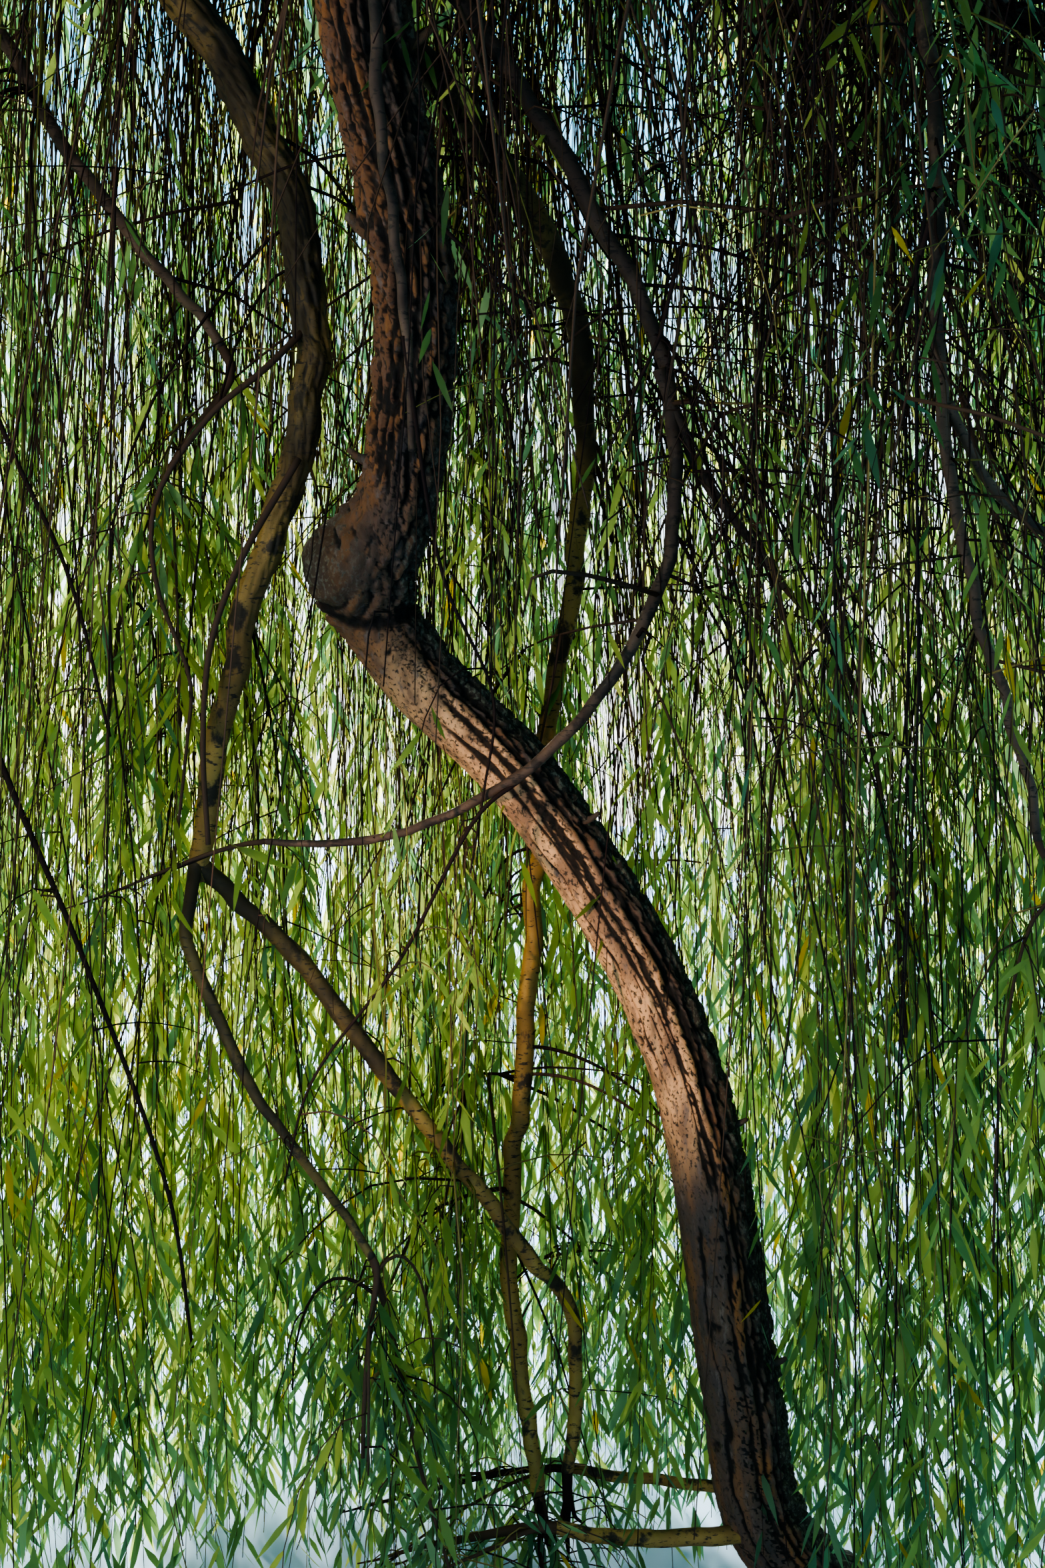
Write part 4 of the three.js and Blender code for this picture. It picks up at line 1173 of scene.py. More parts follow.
def grow_skirt(index, foliage):
    """Long twigs from a curtain's bough that hang inside the curtain, bare above and leafy low down."""
    draw = np.random.default_rng(SEEDS["skirt"] + index)
    bough = part_of(f"curtain_bough_{index + 1}", 0.55, 1, BRANCH_POINTS)
    spread = side_branches(bough, curtain_azimuth(index), draw, 1.1, 2.2, **SKIRT_SHOOTS)
    foliage.add_mixed(spread, 0.007, 0.003, draw, 5)
    strands = hanging(
        spread, draw, 30, held_between(1.1, 2.3), drop=TO_HEM, aside=(0.05, 0.6), lowest=(0.1, 1.2),
        bend=0.03, lean=0.10, bunch=2, steps=14,
    )
    foliage.add_mixed(strands, 0.0034 * draw.uniform(0.7, 1.3, len(strands)), 0.0013, draw)
    for count, inner, outer, bare in SKIRT_LAYERS:
        whips(
            foliage, spread, draw, int(count * SKIRT_SHARE[index]), held_between(inner, outer), leaf=0.150,
            spacing=0.030, bare=bare, drop=TO_HEM, aside=(0.05, 0.6), lowest=(0.03, 0.24), bend=0.06, bunch=3,
            lean=0.07,
        )


# The dome and the tuft on top: radii of the stem, distances from the axis, how often a branch and the stem
# count among the carriers, branches at the rim, and short whips.
DOME_CAP = {
    "thick": (0.014, 0.007), "reach": (0.05, 2.1), "times": 2,
    "shoots": {
        "count": 18, "sideways": (0.1, 0.9), "outward": (0.0, 0.75), "rise": (0.15, 0.6), "drop": (0.1, 0.6),
    },
    "fine": {
        "count": 200, "drop": (0.3, 1.1), "aside": (0.05, 0.5), "lowest": (3.75, 4.3), "leaf": 0.175,
        "spacing": 0.056, "bunch": 3, "lean": 0.05,
    },
}
TUFT_CAP = {
    "thick": (0.024, 0.010), "reach": (0.0, 0.75), "times": 1,
    "shoots": {
        "count": 14, "sideways": (0.05, 0.5), "outward": (-0.5, 0.5), "rise": (0.1, 0.45),
        "drop": (0.05, 0.4),
    },
    "fine": {
        "count": 110, "drop": (0.25, 0.7), "aside": (0.05, 0.4), "lowest": (4.60, 4.8), "leaf": 0.170,
        "spacing": 0.052,
    },
}
TUFT_AZIMUTH = 0.7


def grow_cap(foliage, seed, growth, azimuth, thick, reach, times, shoots, fine):
    """A mass on top of the crown: stem and main twigs, branches at its rim, and short whips."""
    draw = np.random.default_rng(seed)
    stem, twigs = growth
    hold = held_between(*reach)
    stem_points = bezier(stem[None], np.linspace(0, 1, BRANCH_POINTS))
    twig_points = hold(bezier(twigs, np.linspace(0, 1, BRANCH_POINTS)))
    foliage.add_twigs(stem_points, *thick, 1, 7)
    foliage.add_mixed(twig_points, *MAIN_TWIG, draw, 5)
    rim = side_branches(stem_points, azimuth, draw, 0.0, reach[1], **shoots)
    foliage.add_mixed(rim, 0.0065, 0.0025, draw, 4)
    foliage.add_leaves(rim, draw, 0.05, 0.18, (0.0, 0.2))
    carriers = np.concatenate([twig_points, *[rim] * times, np.repeat(stem_points, times, 0)])
    whips(foliage, carriers, draw, hold=hold, bare=(0.0, 0.12), **fine)


def grow_inner(index, name, foliage):
    """A mass on a limb that the photo shows."""
    draw = np.random.default_rng(SEEDS["inner"] + index)
    stem, twigs = inner_growth(index, name)
    limb, x, y, radius, _, bottom = INNER_MASSES[name]

    def hold(points):
        flat = points[..., :2] - [x, y]
        reach = np.maximum(np.linalg.norm(flat, axis=-1), 1e-6)
        held = points.copy()
        held[..., :2] = [x, y] + flat * (np.minimum(reach, radius - 0.02) / reach)[..., None]
        return held

    stem_points = bezier(stem[None], np.linspace(0, 1, BRANCH_POINTS))
    twig_points = bezier(twigs, np.linspace(0, 1, BRANCH_POINTS))
    foliage.add_twigs(stem_points, float(lines[limb].radii[-1]), 0.004, 1, 6)
    foliage.add_mixed(twig_points, 0.004, 0.002, draw, 5)
    carriers = np.concatenate([twig_points, np.repeat(stem_points, 2, 0)])
    whips(
        foliage, carriers, draw, INNER_WHIPS[name], hold, leaf=0.112, spacing=0.036, outline=LEAF_FULL,
        drop=(0.4, 1.3), aside=(0.03, 0.3), lowest=(bottom, bottom + 0.3), nearest=1.9, crossing=0.1,
    )


# Bare and thinly leaved twigs under the crown: the limb that carries them, how many, and on which part of it.
TANGLE = {
    "right_low_bough": (110, 0.1, 1.0), "middle_bough": (46, 0.05, 0.45), "front_bough": (44, 0.05, 0.6),
    "left_bough": (34, 0.25, 0.75), "left_hanging_branch": (22, 0.3, 0.95), "right_stem": (20, 0.2, 0.9),
    "curtain_bough_1": (50, 0.2, 1.0), "curtain_bough_2": (80, 0.1, 1.0), "curtain_bough_3": (60, 0.15, 1.0),
    "curtain_bough_4": (40, 0.15, 1.0), "front_stem": (8, 0.3, 0.9), "left_inner_fork": (16, 0.3, 0.9),
}
# Long bare twigs that hang in strands down to the hem: the limb that carries them and how many.
STRANDS = {
    "left_bough": 22, "left_hanging_branch": 10, "curtain_bough_1": 12, "curtain_bough_2": 22,
    "curtain_bough_3": 22, "curtain_bough_4": 22, "middle_bough": 12, "front_bough": 10,
    "right_low_bough": 14,
}
# The thicket of bare twigs high on the right: the limb that carries them, how many, and how low they hang.
THICKET = {
    "right_low_bough": (76, 2.0), "curtain_bough_1": (34, 2.4), "curtain_bough_2": (60, 2.5),
    "curtain_bough_3": (10, 2.6), "front_bough": (24, 2.1), "middle_bough": (20, 2.2),
}
# Limbs that run out in thin twigs at their tips: how many twigs and how long.
RUN_OUT = {
    "left_inner_fork": (3, 0.5), "middle_bough": (3, 0.45), "base_limb_low": (3, 0.4),
    "base_limb_high": (3, 0.45), "front_bough": (2, 0.35), "right_stem_fork": (2, 0.4),
}


# How near the camera such twigs may come, and the share of those before a limb that stay.
TANGLE_VIEW = {"nearest": 1.7, "crossing": 0.25}
THICKET_VIEW = {"nearest": 1.6, "crossing": 0.25}


def anywhere(points):
    return points


def run_out(foliage):
    """Twigs that carry on from the tips of limbs which end in no mass."""
    draw = np.random.default_rng(SEEDS["run_out"])
    for name, (count, length) in RUN_OUT.items():
        line = lines[name]
        tip, direction, radius = line.points[-1], line.direction(1)[0], float(line.radii[-1])
        for k in range(count):
            spread = draw.normal(0, 0.35, 3) * [1, 1, 0.4] * (k > 0)
            aim = unit(direction + spread)
            size = length * draw.uniform(0.7, 1.2)
            end = tip + aim * size
            end[2] = max(end[2] - 0.3 * size, 0.03)
            lead = tip + direction * size * 0.3
            controls = np.array([tip - direction * radius, lead, lerp(tip, end, 0.7), end])
            points = wiggle(bezier(controls[None], np.linspace(0, 1, BRANCH_POINTS)), draw, 0.02)
            points[..., 2] = np.maximum(points[..., 2], 0.02)
            foliage.add_twigs(points, radius * (0.92 if k == 0 else 0.5), 0.0015, dark_tones(1, draw), 7)
            side = hanging(
                points, draw, 7, anywhere, drop=(0.05, 0.3), aside=(0.05, 0.25), lowest=(0.03, 0.1),
                bend=0.02,
            )
            foliage.add_mixed(side, 0.0022, 0.0007, draw)
            foliage.add_leaves(side, draw, 0.036, 0.11, (0.2, 0.6), LEAF_FULL)


# Thin branches that the photo shows in full, in millimetres: the radii at both ends, then places [x, y, z].
ARCS = [
    (
        5, 2, [-905, -640, 2740], [-840, -700, 2735], [-760, -720, 2660], [-663, -700, 2581],
        [-560, -680, 2560],
    ),
    (
        7, 5, [-1085, -395, 2370], [-1187, -430, 2174], [-1244, -430, 2018], [-1262, -420, 1830],
        [-1252, -420, 1635],
    ),
    (
        7, 3, [-1078, -375, 2620], [-1150, -420, 2530], [-1245, -430, 2446], [-1349, -430, 2283],
        [-1352, -420, 2135], [-1290, -400, 1943], [-1300, -380, 1840], [-1330, -360, 1600],
    ),
    (
        7, 3, [-2080, -860, 4060], [-1900, -640, 3300], [-1618, -500, 2412], [-1500, -480, 2140],
        [-1416, -500, 1837],
    ),
    (
        8, 3, [-2140, -880, 4080], [-1960, -700, 2900], [-1618, -500, 1793], [-1473, -480, 1433],
        [-1315, -470, 987], [-1273, -460, 700],
    ),
    (
        4, 2, [-858, -750, 2500], [-800, -560, 2120], [-712, -450, 1907], [-730, -440, 1740],
        [-756, -450, 1583],
    ),
    (
        5, 2, [-660, -425, 1760], [-738, -450, 1695], [-887, -470, 1421], [-1049, -480, 1197],
        [-1100, -470, 1010],
    ),
    (7, 3, [-950, -340, 830], [-900, -350, 640], [-860, -330, 430], [-800, -320, 210]),
]


def grow_arcs(foliage):
    draw = np.random.default_rng(SEEDS["arcs"])
    for first, last, *rows in ARCS:
        points = catmull_rom(np.array(rows) * MM, np.linspace(0, 1, 33))[None]
        foliage.add_twigs(points, first * MM, last * MM, dark_tones(1, draw), 7)
        side = hanging(
            points, draw, 10, anywhere, drop=(0.05, 0.45), aside=(0.05, 0.25), lowest=(0.05, 0.5), bend=0.04,
            nearest=1.9,
        )
        foliage.add_mixed(side, 0.0022, 0.0008, draw)
        foliage.add_leaves(side, draw, 0.04, 0.105, (0.3, 0.8), LEAF_FULL)


def grow_crossing(foliage, draw, hold, carrier, count):
    """Twigs that fall from a limb or cross under it, with finer ones of which half have a few leaves."""
    falling = hanging(
        carrier, draw, count, hold, drop=(0.6, 2.6), aside=(0.05, 0.55), lowest=(0.2, 1.4), bend=0.08,
        **TANGLE_VIEW,
    )
    crossing = hanging(
        carrier, draw, count // 4, hold, drop=(0.2, 0.8), aside=(0.30, 0.9), lowest=(0.35, 1.6), bend=0.12,
        **TANGLE_VIEW,
    )
    both = np.concatenate([falling, crossing])
    is_near = both[:, 0, 1] < -0.6
    tone = np.where(is_near, dark_tones(len(both), draw), mixed_tones(len(both), draw))
    foliage.add_twigs(both, 0.0030 * draw.uniform(0.6, 1.5, len(both)), 0.0011, tone)
    fine = hanging(
        both, draw, count, hold, drop=(0.1, 0.7), aside=(0.03, 0.3), lowest=(0.1, 0.8), bend=0.04,
        **TANGLE_VIEW,
    )
    foliage.add_mixed(fine, 0.0018, 0.0006, draw)
    leafy = fine[(draw.random(len(fine)) < 0.5) & (fine[:, 0, 1] > -0.72)]
    foliage.add_leaves(leafy, draw, 0.040, 0.112, (0.2, 0.7), LEAF_FULL)


def grow_strands(foliage, draw, hold, carrier, count):
    """Long bare twigs down to the hem, with short ones astray on them."""
    strand = hanging(
        carrier, draw, count, hold, drop=TO_HEM, aside=(0.05, 0.6), lowest=(0.15, 0.9), bend=0.10,
        nearest=2.2, crossing=0.12, lean=0.07, bunch=4, steps=18,
    )
    is_dark = draw.random(len(strand)) < 0.7
    tone = np.where(is_dark, dark_tones(len(strand), draw), mixed_tones(len(strand), draw))
    foliage.add_twigs(strand, 0.0042 * draw.uniform(0.6, 1.4, len(strand)), 0.0012, tone)
    side = straying(strand, draw, 2 * count, (0.15, 0.6), hold, 2.2, 0.12)
    foliage.add_mixed(side, 0.0020, 0.0007, draw)


def grow_thicket(foliage, draw, hold, carrier, count, lowest):
    """Bare twigs that hang, others that stray from them in all directions, and finer ones on those."""
    main = hanging(
        carrier, draw, count, hold, drop=(0.4, 1.9), aside=(0.1, 0.8), lowest=(lowest, 3.0), bend=0.10,
        lean=0.2, **THICKET_VIEW,
    )
    radius = 0.0052 * draw.uniform(0.5, 1.3, len(main))
    foliage.add_twigs(main, radius, 0.0016, dark_tones(len(main), draw), 4)
    across = straying(main, draw, 3 * count, (0.25, 1.0), hold, **THICKET_VIEW)
    radius = 0.0038 * draw.uniform(0.5, 1.4, len(across))
    foliage.add_twigs(across, radius, 0.0010, dark_tones(len(across), draw))
    fine = straying(across, draw, 2 * count, (0.12, 0.5), hold, **THICKET_VIEW)
    foliage.add_mixed(fine, 0.0020, 0.0006, draw)


def grow_tangle(foliage):
    """Thin twigs that hang and cross under the crown, most of them bare."""
    draw = np.random.default_rng(SEEDS["tangle"])
    hold = held_between(0.0, CURTAIN_INNER + 0.3)
    for name, (count, first, last) in TANGLE.items():
        grow_crossing(foliage, draw, hold, part_of(name, first, last), count)
    for name, count in STRANDS.items():
        grow_strands(foliage, draw, hold, part_of(name, 0.3, 1, BRANCH_POINTS), count)
    for name, (count, lowest) in THICKET.items():
        grow_thicket(foliage, draw, hold, part_of(name, 0.05, 0.9, BRANCH_POINTS), count, lowest)
    whips(
        foliage, part_of("right_stem", 0.15, 0.8), draw, 24, hold, leaf=0.105, spacing=0.034, bare=(0.1, 0.5),
        outline=LEAF_FULL, drop=(0.25, 0.8), aside=(0.05, 0.35), lowest=(1.3, 2.2), nearest=2.0, crossing=0.1,
    )


def straying(carriers, draw, count, length, hold, nearest, crossing):
    """Twigs that leave others in any direction, nearly straight, and droop a little: their points."""
    if not len(carriers):
        return np.zeros((0, WHIP_STEPS + 1, 3))
    which = draw.integers(0, len(carriers), count)
    root = polyline_at(carriers[which], draw.uniform(0.15, 0.98, (count, 1)))[0][:, 0]
    tip_up = draw.uniform(-1.3, 0.35, count)[:, None]
    aim = heading(draw.uniform(0, 2 * math.pi, count)) * np.cos(tip_up) + UP * np.sin(tip_up)
    size = draw.uniform(*length, (count, 1, 1))
    t = np.linspace(0, 1, WHIP_STEPS + 1)[None, :, None]
    points = root[:, None] + aim[:, None] * size * t - UP * 0.3 * size * t * t
    points = hold(wiggle(points, draw, 0.02))
    points[:, 0] = root
    points = points[points[..., 2].min(1) > LOWEST]
    return points[keeps_view(points, draw, nearest, crossing)]


# Materials


def principled(name, colour, roughness):
    material = bpy.data.materials.new(name)
    material.use_nodes = True
    shader = material.node_tree.nodes["Principled BSDF"]
    shader.inputs["Base Color"].default_value = (*colour, 1)
    shader.inputs["Roughness"].default_value = roughness
    return material, shader


def dull_material(name, colour):
    """A plain colour without any shine."""
    material, shader = principled(name, colour, 0.8)
    shader.inputs["Specular IOR Level"].default_value = 0.0
    return material


def leaf_material(name, colour, through, share=0.5):
    """A leaf with light through it: its own colour in front, and a brighter one from behind."""
    material, shader = principled(name, colour, 0.42)
    shader.inputs["Specular IOR Level"].default_value = 0.4
    nodes, links = material.node_tree.nodes, material.node_tree.links
    thin = nodes.new("ShaderNodeBsdfTranslucent")
    thin.inputs["Color"].default_value = (*through, 1)
    both = nodes.new("ShaderNodeMixShader")
    both.inputs["Fac"].default_value = share
    links.new(shader.outputs[0], both.inputs[1])
    links.new(thin.outputs[0], both.inputs[2])
    links.new(both.outputs[0], nodes["Material Output"].inputs["Surface"])
    return material


class Nodes:
    """Short ways to wire a procedural material."""

    def __init__(self, material):
        self.nodes, self.links = material.node_tree.nodes, material.node_tree.links
        self.place = self.nodes.new("ShaderNodeTexCoord").outputs["Object"]

    def wire(self, value, socket):
        if isinstance(value, (int, float)):
            socket.default_value = value
        elif isinstance(value, tuple):
            socket.default_value = (*value, 1)
        else:
            self.links.new(value, socket)

    def attribute(self, name):
        node = self.nodes.new("ShaderNodeAttribute")
        node.attribute_name = name
        return node.outputs["Fac"]

    def fill(self, node, inputs):
        """Wires a node's inputs, by name or number, to values, colours or other nodes."""
        for key, value in inputs.items():
            self.wire(value, node.inputs[key])
        return node

    def noise(self, scale, detail, stretch):
        mapping = self.nodes.new("ShaderNodeMapping")
        mapping.inputs["Scale"].default_value = stretch
        self.links.new(self.place, mapping.inputs["Vector"])
        inputs = {"Scale": scale, "Detail": detail, "Roughness": 0.6, "Vector": mapping.outputs[0]}
        return self.fill(self.nodes.new("ShaderNodeTexNoise"), inputs).outputs["Fac"]

    def ramp(self, value, low, high, to_low=0.0, to_high=1.0):
        node = self.nodes.new("ShaderNodeMapRange")
        node.interpolation_type = "SMOOTHSTEP"
        inputs = {"Value": value, "From Min": low, "From Max": high, "To Min": to_low, "To Max": to_high}
        return self.fill(node, inputs).outputs["Result"]

    def math(self, kind, a, b):
        node = self.nodes.new("ShaderNodeMath")
        node.operation = kind
        return self.fill(node, {0: a, 1: b}).outputs[0]

    def mix(self, share, a, b):
        node = self.nodes.new("ShaderNodeMix")
        node.data_type = "RGBA"
        return self.fill(node, {"Factor": share, "A": a, "B": b}).outputs["Result"]

    def layers(self, colour, layers):
        """Colours laid over each other, each by its share."""
        for share, upper in layers:
            colour = self.mix(share, colour, upper)
        return colour

    def both(self, a, b):
        return self.math("MULTIPLY", a, b)

    def bump(self, height, strength, distance, shader):
        node = self.nodes.new("ShaderNodeBump")
        self.fill(node, {"Strength": strength, "Distance": distance, "Height": height})
        self.links.new(node.outputs[0], shader.inputs["Normal"])


def old_bark_material(name, grey, brown, rust, cream, red):
    """Furrowed bark: brown plates, cream, rusty and red lanes, a blackish side, and dark cracks. The cream
    lane carries a painted highlight, the red lane painted light, the blackish side is moss with painted
    shade, and the cracks are dark inner bark with painted shade.
    """
    material, shader = principled(name, brown, 0.9)
    n = Nodes(material)
    blotch = n.noise(9, 5, (1, 1, 0.45))
    speck = n.noise(150, 3, (1, 1, 0.6))
    grain = n.noise(60, 6, (1, 1, 0.25))
    # The pale lane: pale bare bark, made bright as a painted highlight.
    pale = n.layers(cream, [
        (n.ramp(n.noise(16, 4, (1, 1, 0.35)), 0.42, 0.60), (0.34, 0.18, 0.11)),
        (n.ramp(speck, 0.52, 0.62, 0.0, 0.85), (0.12, 0.075, 0.05)),
    ])
    # The blackish colour of moss, also painted shade on the trunk's right side, on the knob and on the upper
    # side of limbs.
    weathered_and_shaded = n.mix(n.ramp(speck, 0.50, 0.62), (0.030, 0.027, 0.021), (0.13, 0.13, 0.10))
    colour = n.layers(grey, [
        (n.ramp(blotch, 0.38, 0.62), brown),
        # Reddish bark, with painted light on the trunk's lit left side.
        (n.both(n.attribute("red"), n.ramp(grain, 0.15, 0.5)), red),
        (n.both(n.ramp(n.attribute("plate"), 0.35, 0.9, 0.0, 0.5), n.ramp(grain, 0.3, 0.7)), rust),
        (n.both(n.attribute("rust"), n.ramp(grain, 0.3, 0.55)), rust),
        # The pale lane, also a painted highlight on the trunk's lit middle.
        (n.both(n.attribute("bare"), n.ramp(grain, 0.22, 0.45)), pale),
        (n.ramp(speck, 0.57, 0.67, 0.0, 0.8), (0.035, 0.025, 0.020)),
        (n.ramp(grain, 0.30, 0.44, 0.45, 0.0), (0.30, 0.20, 0.17)),
        # Moss, and painted shade.
        (n.both(n.attribute("moss_and_shade"), n.ramp(blotch, 0.25, 0.5, 0.55, 1.0)), weathered_and_shaded),
        # Near black where the relief lies low, in cracks, the crease, knot hollows and fold troughs: dark
        # inner bark, and painted shade.
        (n.ramp(n.attribute("relief"), 0.10, 0.60, 0.96, 0.0), (0.010, 0.007, 0.006)),
    ])
    n.wire(colour, shader.inputs["Base Color"])
    n.wire(n.ramp(grain, 0.3, 0.7, 0.78, 0.96), shader.inputs["Roughness"])
    n.bump(n.math("ADD", grain, n.both(speck, 0.5)), 0.6, 0.004, shader)
    return material


def young_bark_material(name, bright, dull, dark, marked):
    """Smooth young bark: olive to ochre, with dark cross marks and blotches, darker where the limb is old and
    where shade is painted on its upper parts and upper side, and dark in its cracks as inner bark and painted
    shade.
    """
    material, shader = principled(name, bright, 0.72)
    n = Nodes(material)
    # The dark of old bark, also painted shade over the upper parts of limbs.
    old_and_shaded = tuple(0.18 * value + 0.010 for value in dull)
    broad = n.noise(7, 4, (1, 1, 0.6))
    marks = n.noise(42, 3, (1, 1, 3.2))
    dots = n.noise(120, 2, (1, 1, 1.8))
    colour = n.layers(bright, [
        (n.ramp(broad, 0.38, 0.62), dull),
        (n.ramp(marks, 0.57, 0.65, 0.0, marked), dark),
        (n.ramp(n.noise(15, 5, (1, 1, 0.7)), 0.53, 0.60, 0.0, marked), dark),
        # Old bark, and painted shade on the upper parts.
        (n.both(n.attribute("age_and_shade"), n.ramp(broad, 0.30, 0.55, 0.55, 1.0)), old_and_shaded),
        (n.ramp(dots, 0.66, 0.72, 0.0, 0.8), (0.03, 0.02, 0.015)),
        # Moss, and painted shade on the upper side.
        (n.both(n.attribute("moss_and_shade"), 0.5), (0.03, 0.028, 0.02)),
        # Dark in the cracks of thick limbs, as inner bark and painted shade, and at the nodes of thin ones.
        (n.ramp(n.attribute("relief"), 0.05, 0.6, 0.9, 0.0), (0.018, 0.012, 0.01)),
    ])
    n.wire(colour, shader.inputs["Base Color"])
    n.wire(n.ramp(broad, 0.3, 0.7, 0.6, 0.85), shader.inputs["Roughness"])
    n.bump(n.math("ADD", marks, dots), 0.35, 0.002, shader)
    return material


OLD_BARK = old_bark_material(
    "old_bark", grey=(0.098, 0.066, 0.060), brown=(0.140, 0.078, 0.055), rust=(0.30, 0.120, 0.045),
    # The cream is pale bare bark, made bright as a painted highlight.
    cream=(0.74, 0.39, 0.21), red=(0.185, 0.082, 0.046),
)
LIMB_BARK = old_bark_material(
    "limb_bark", grey=(0.055, 0.045, 0.042), brown=(0.085, 0.058, 0.045), rust=(0.16, 0.08, 0.045),
    cream=(0.3, 0.22, 0.16), red=(0.12, 0.07, 0.05),
)
OCHRE_BARK = young_bark_material(
    "ochre_bark", bright=(0.42, 0.240, 0.065), dull=(0.25, 0.135, 0.045), dark=(0.036, 0.024, 0.019),
    marked=0.95,
)
GREY_BARK = young_bark_material(
    "grey_bark", bright=(0.15, 0.082, 0.055), dull=(0.066, 0.038, 0.030), dark=(0.024, 0.016, 0.014),
    marked=0.75,
)
LEAF_TONES = [
    leaf_material("leaf_fresh", (0.125, 0.190, 0.036), (0.78, 0.80, 0.23), 0.62),
    leaf_material("leaf_green", (0.075, 0.140, 0.032), (0.58, 0.70, 0.21), 0.62),
    leaf_material("leaf_deep", (0.038, 0.088, 0.026), (0.32, 0.52, 0.18), 0.55),
    leaf_material("leaf_blue", (0.042, 0.098, 0.062), (0.26, 0.50, 0.28), 0.55),
    leaf_material("leaf_pale", (0.110, 0.165, 0.105), (0.42, 0.64, 0.34), 0.6),
    leaf_material("leaf_yellow", (0.50, 0.34, 0.030), (0.80, 0.56, 0.04)),
]
TWIG_TONES = [
    dull_material(name, colour)
    for name, colour in (
        ("twig_dark", (0.042, 0.027, 0.026)),
        ("twig_brown", (0.110, 0.064, 0.048)),
        ("twig_straw", (0.300, 0.210, 0.090)),
        ("twig_olive", (0.160, 0.150, 0.050)),
    )
]
TWIG_SHARES = [0.34, 0.32, 0.16, 0.18]


# The tree

trunk_bark()
bark_piece("stubs_bark", stub_lines(), LIMB_BARK, "bark", [], 150)
# Pieces of young bark: their material, their seed and their limbs.
YOUNG_PIECES = {
    "left_boughs_bark": (OCHRE_BARK, 200, ["left_bough", "left_inner_fork", "left_outer_fork"]),
    "middle_bough_bark": (OCHRE_BARK, 240, ["middle_bough"]),
    "front_boughs_bark": (
        GREY_BARK, 260, ["front_bough", "front_bough_fork", "front_stem", "left_hanging_branch"],
    ),
    "right_boughs_bark": (GREY_BARK, 300, ["right_low_bough", "right_stem", "right_stem_fork"]),
    "base_limbs_bark": (OCHRE_BARK, 330, ["base_limb_low", "base_limb_high"]),
}
SPLIT_LIMBS = ("left_bough", "middle_bough", "front_bough")
for name, (material, seed, limbs) in YOUNG_PIECES.items():
    nodes = []
    for limb in limbs:
        nodes += [limb, f"{limb}_fall"] if limb in SPLIT_LIMBS else [limb]
    bark_piece(name, limbs, material, "young_bark", nodes, seed)
crown_boughs = [name for name in LIMBS if name.startswith(("curtain", "dome"))]
bark_piece("crown_boughs_bark", crown_boughs, LIMB_BARK, "bark", crown_boughs, 360)

for name, indices in (
    ("right_curtain", (0,)), ("back_right_curtain", (1,)), ("back_curtain", (2,)),
    ("back_left_curtain", (3,)), ("left_curtain", (4, 5)), ("front_left_curtain", (6, 7)),
    ("front_right_curtain", (8, 9)),
):
    growth = Foliage()
    for index in indices:
        grow_curtain(index, growth)
    growth.pieces(name, [f"curtain_mass_{index + 1}" for index in indices])

growth = Foliage()
for index in range(DOME_COUNT):
    grow_cap(growth, SEEDS["dome"] + index, dome_growth(index), dome_azimuth(index), **DOME_CAP)
grow_cap(growth, SEEDS["tuft"], tuft_growth(), TUFT_AZIMUTH, **TUFT_CAP)
growth.pieces("dome", ["top_mass"] + [f"dome_mass_{index + 1}" for index in range(DOME_COUNT)])

growth = Foliage()
for index, name in enumerate(INNER_MASSES):
    grow_inner(index, name, growth)
growth.pieces("inner", list(INNER_MASSES))

growth = Foliage()
grow_tangle(growth)
run_out(growth)
grow_arcs(growth)
growth.pieces("tangle", [])


# Studio

FLOOR_HALF = 60
# Places that the lamps are aimed at: the pale middle of the trunk, the leader, and the middle of the picture.
TRUNK_SPOT = (-0.49, -0.13, 1.44)
LEADER_SPOT = (-0.9, -0.7, 2.7)
PICTURE_SPOT = (-0.9, -0.5, 1.5)


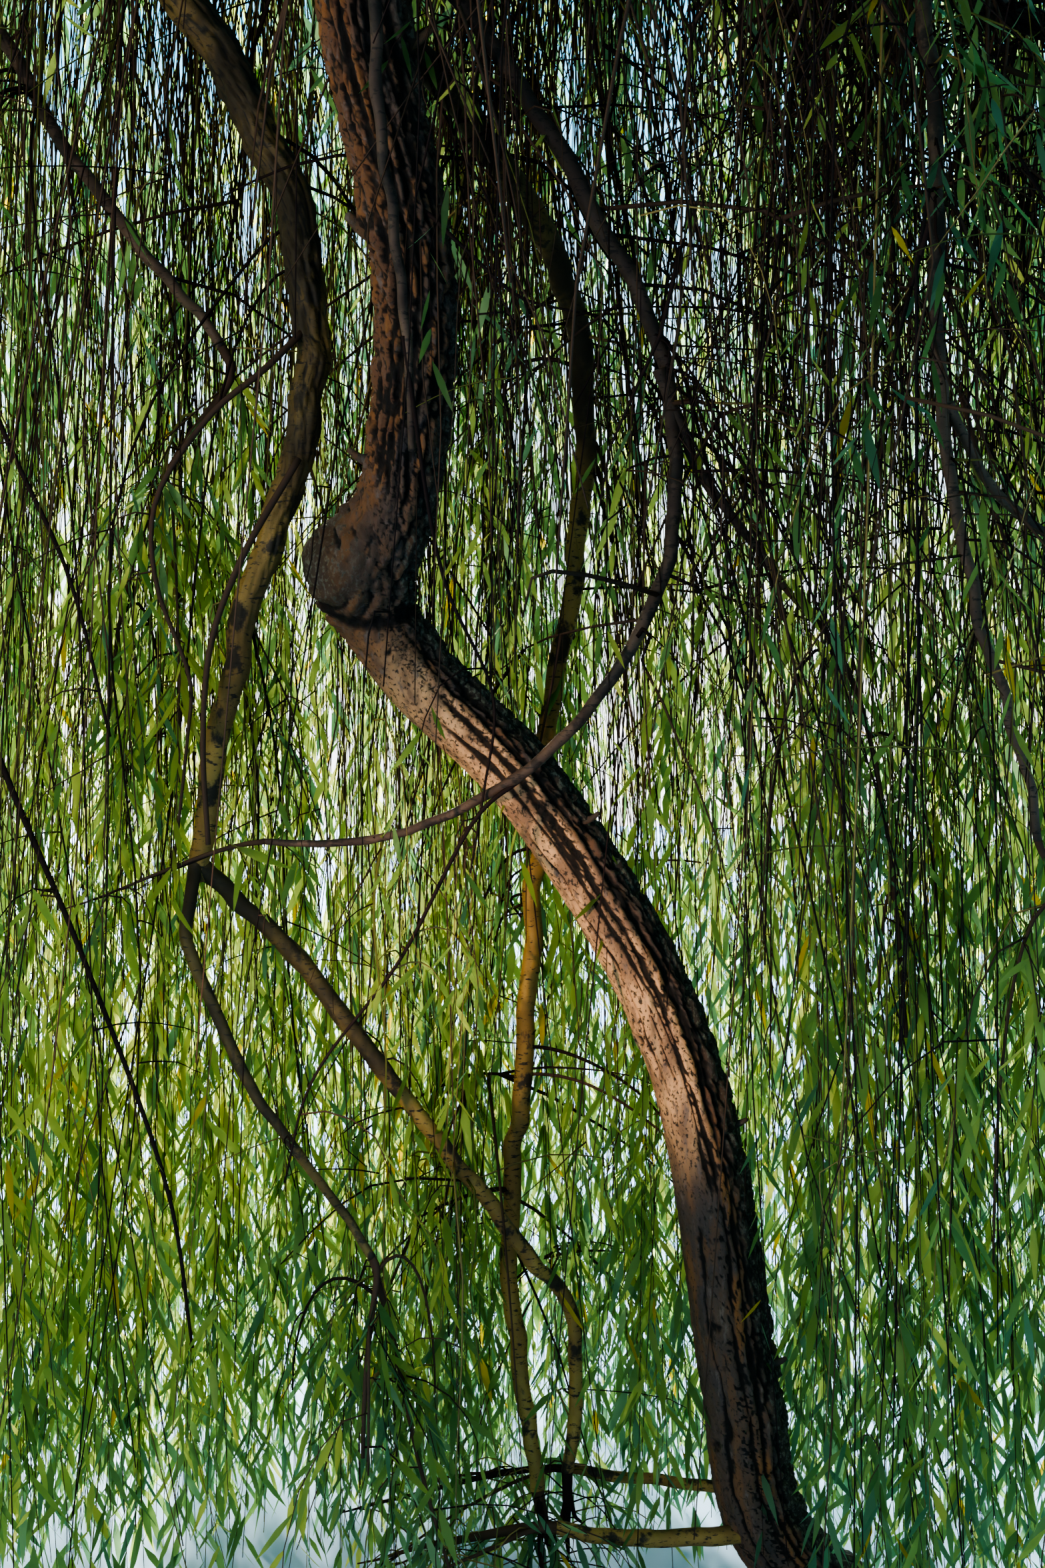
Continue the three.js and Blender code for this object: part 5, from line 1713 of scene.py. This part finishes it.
def lamp(name, kind, energy, colour, place, target, **settings):
    data = bpy.data.lights.new(name, kind)
    data.energy, data.color = energy, colour
    for key, value in settings.items():
        setattr(data, key, value)
    light = bpy.data.objects.new(name, data)
    light.location = place
    light.rotation_euler = (Vector(target) - Vector(place)).to_track_quat("-Z", "Y").to_euler()
    light.visible_camera = False
    bpy.context.scene.collection.objects.link(light)


floor_material, _ = principled("studio_floor", (0.27, 0.40, 0.62), 0.85)
corners = np.array([[-1, -1, 0], [1, -1, 0], [1, 1, 0], [-1, 1, 0]], float) * FLOOR_HALF
floor = mesh_piece("floor", corners, np.array([[0, 1, 2, 3]]), [floor_material], is_smooth=False)
floor.location.z = -2 * MM

world = bpy.data.worlds.new("studio")
bpy.context.scene.world = world
world.use_nodes = True
sky = Nodes(world)
background = sky.nodes["Background"]
aim = sky.nodes.new("ShaderNodeTexCoord").outputs["Generated"]
split = sky.nodes.new("ShaderNodeSeparateXYZ")
sky.links.new(aim, split.inputs[0])
tint = sky.mix(sky.ramp(split.outputs["Z"], 0.0, 0.55), (0.95, 0.98, 1.0), (0.09, 0.60, 0.95))
sky.wire(tint, background.inputs["Color"])
background.inputs["Strength"].default_value = 2.6

lamp("back_light", "SUN", 22.0, (1.0, 0.92, 0.76), (-4, 8, 6), PICTURE_SPOT, angle=0.2)
lamp(
    "trunk_light", "SPOT", 240, (1.0, 0.73, 0.50), (-2.3, -2.6, 1.2), TRUNK_SPOT,
    spot_size=0.42, spot_blend=0.9, shadow_soft_size=0.05,
)
lamp("leader_light", "AREA", 26, (1.0, 0.86, 0.74), (-2.5, -2.3, 2.3), LEADER_SPOT, size=0.8)

camera_data = bpy.data.cameras.new("camera")
camera_data.sensor_fit = "VERTICAL"
camera_data.sensor_height = 36
camera_data.lens = 35
camera = bpy.data.objects.new("camera", camera_data)
camera.location = EYE
camera.rotation_euler = (math.pi / 2, 0, 0)
bpy.context.scene.collection.objects.link(camera)
bpy.context.scene.camera = camera

bpy.context.scene.view_settings.look = "AgX - High Contrast"
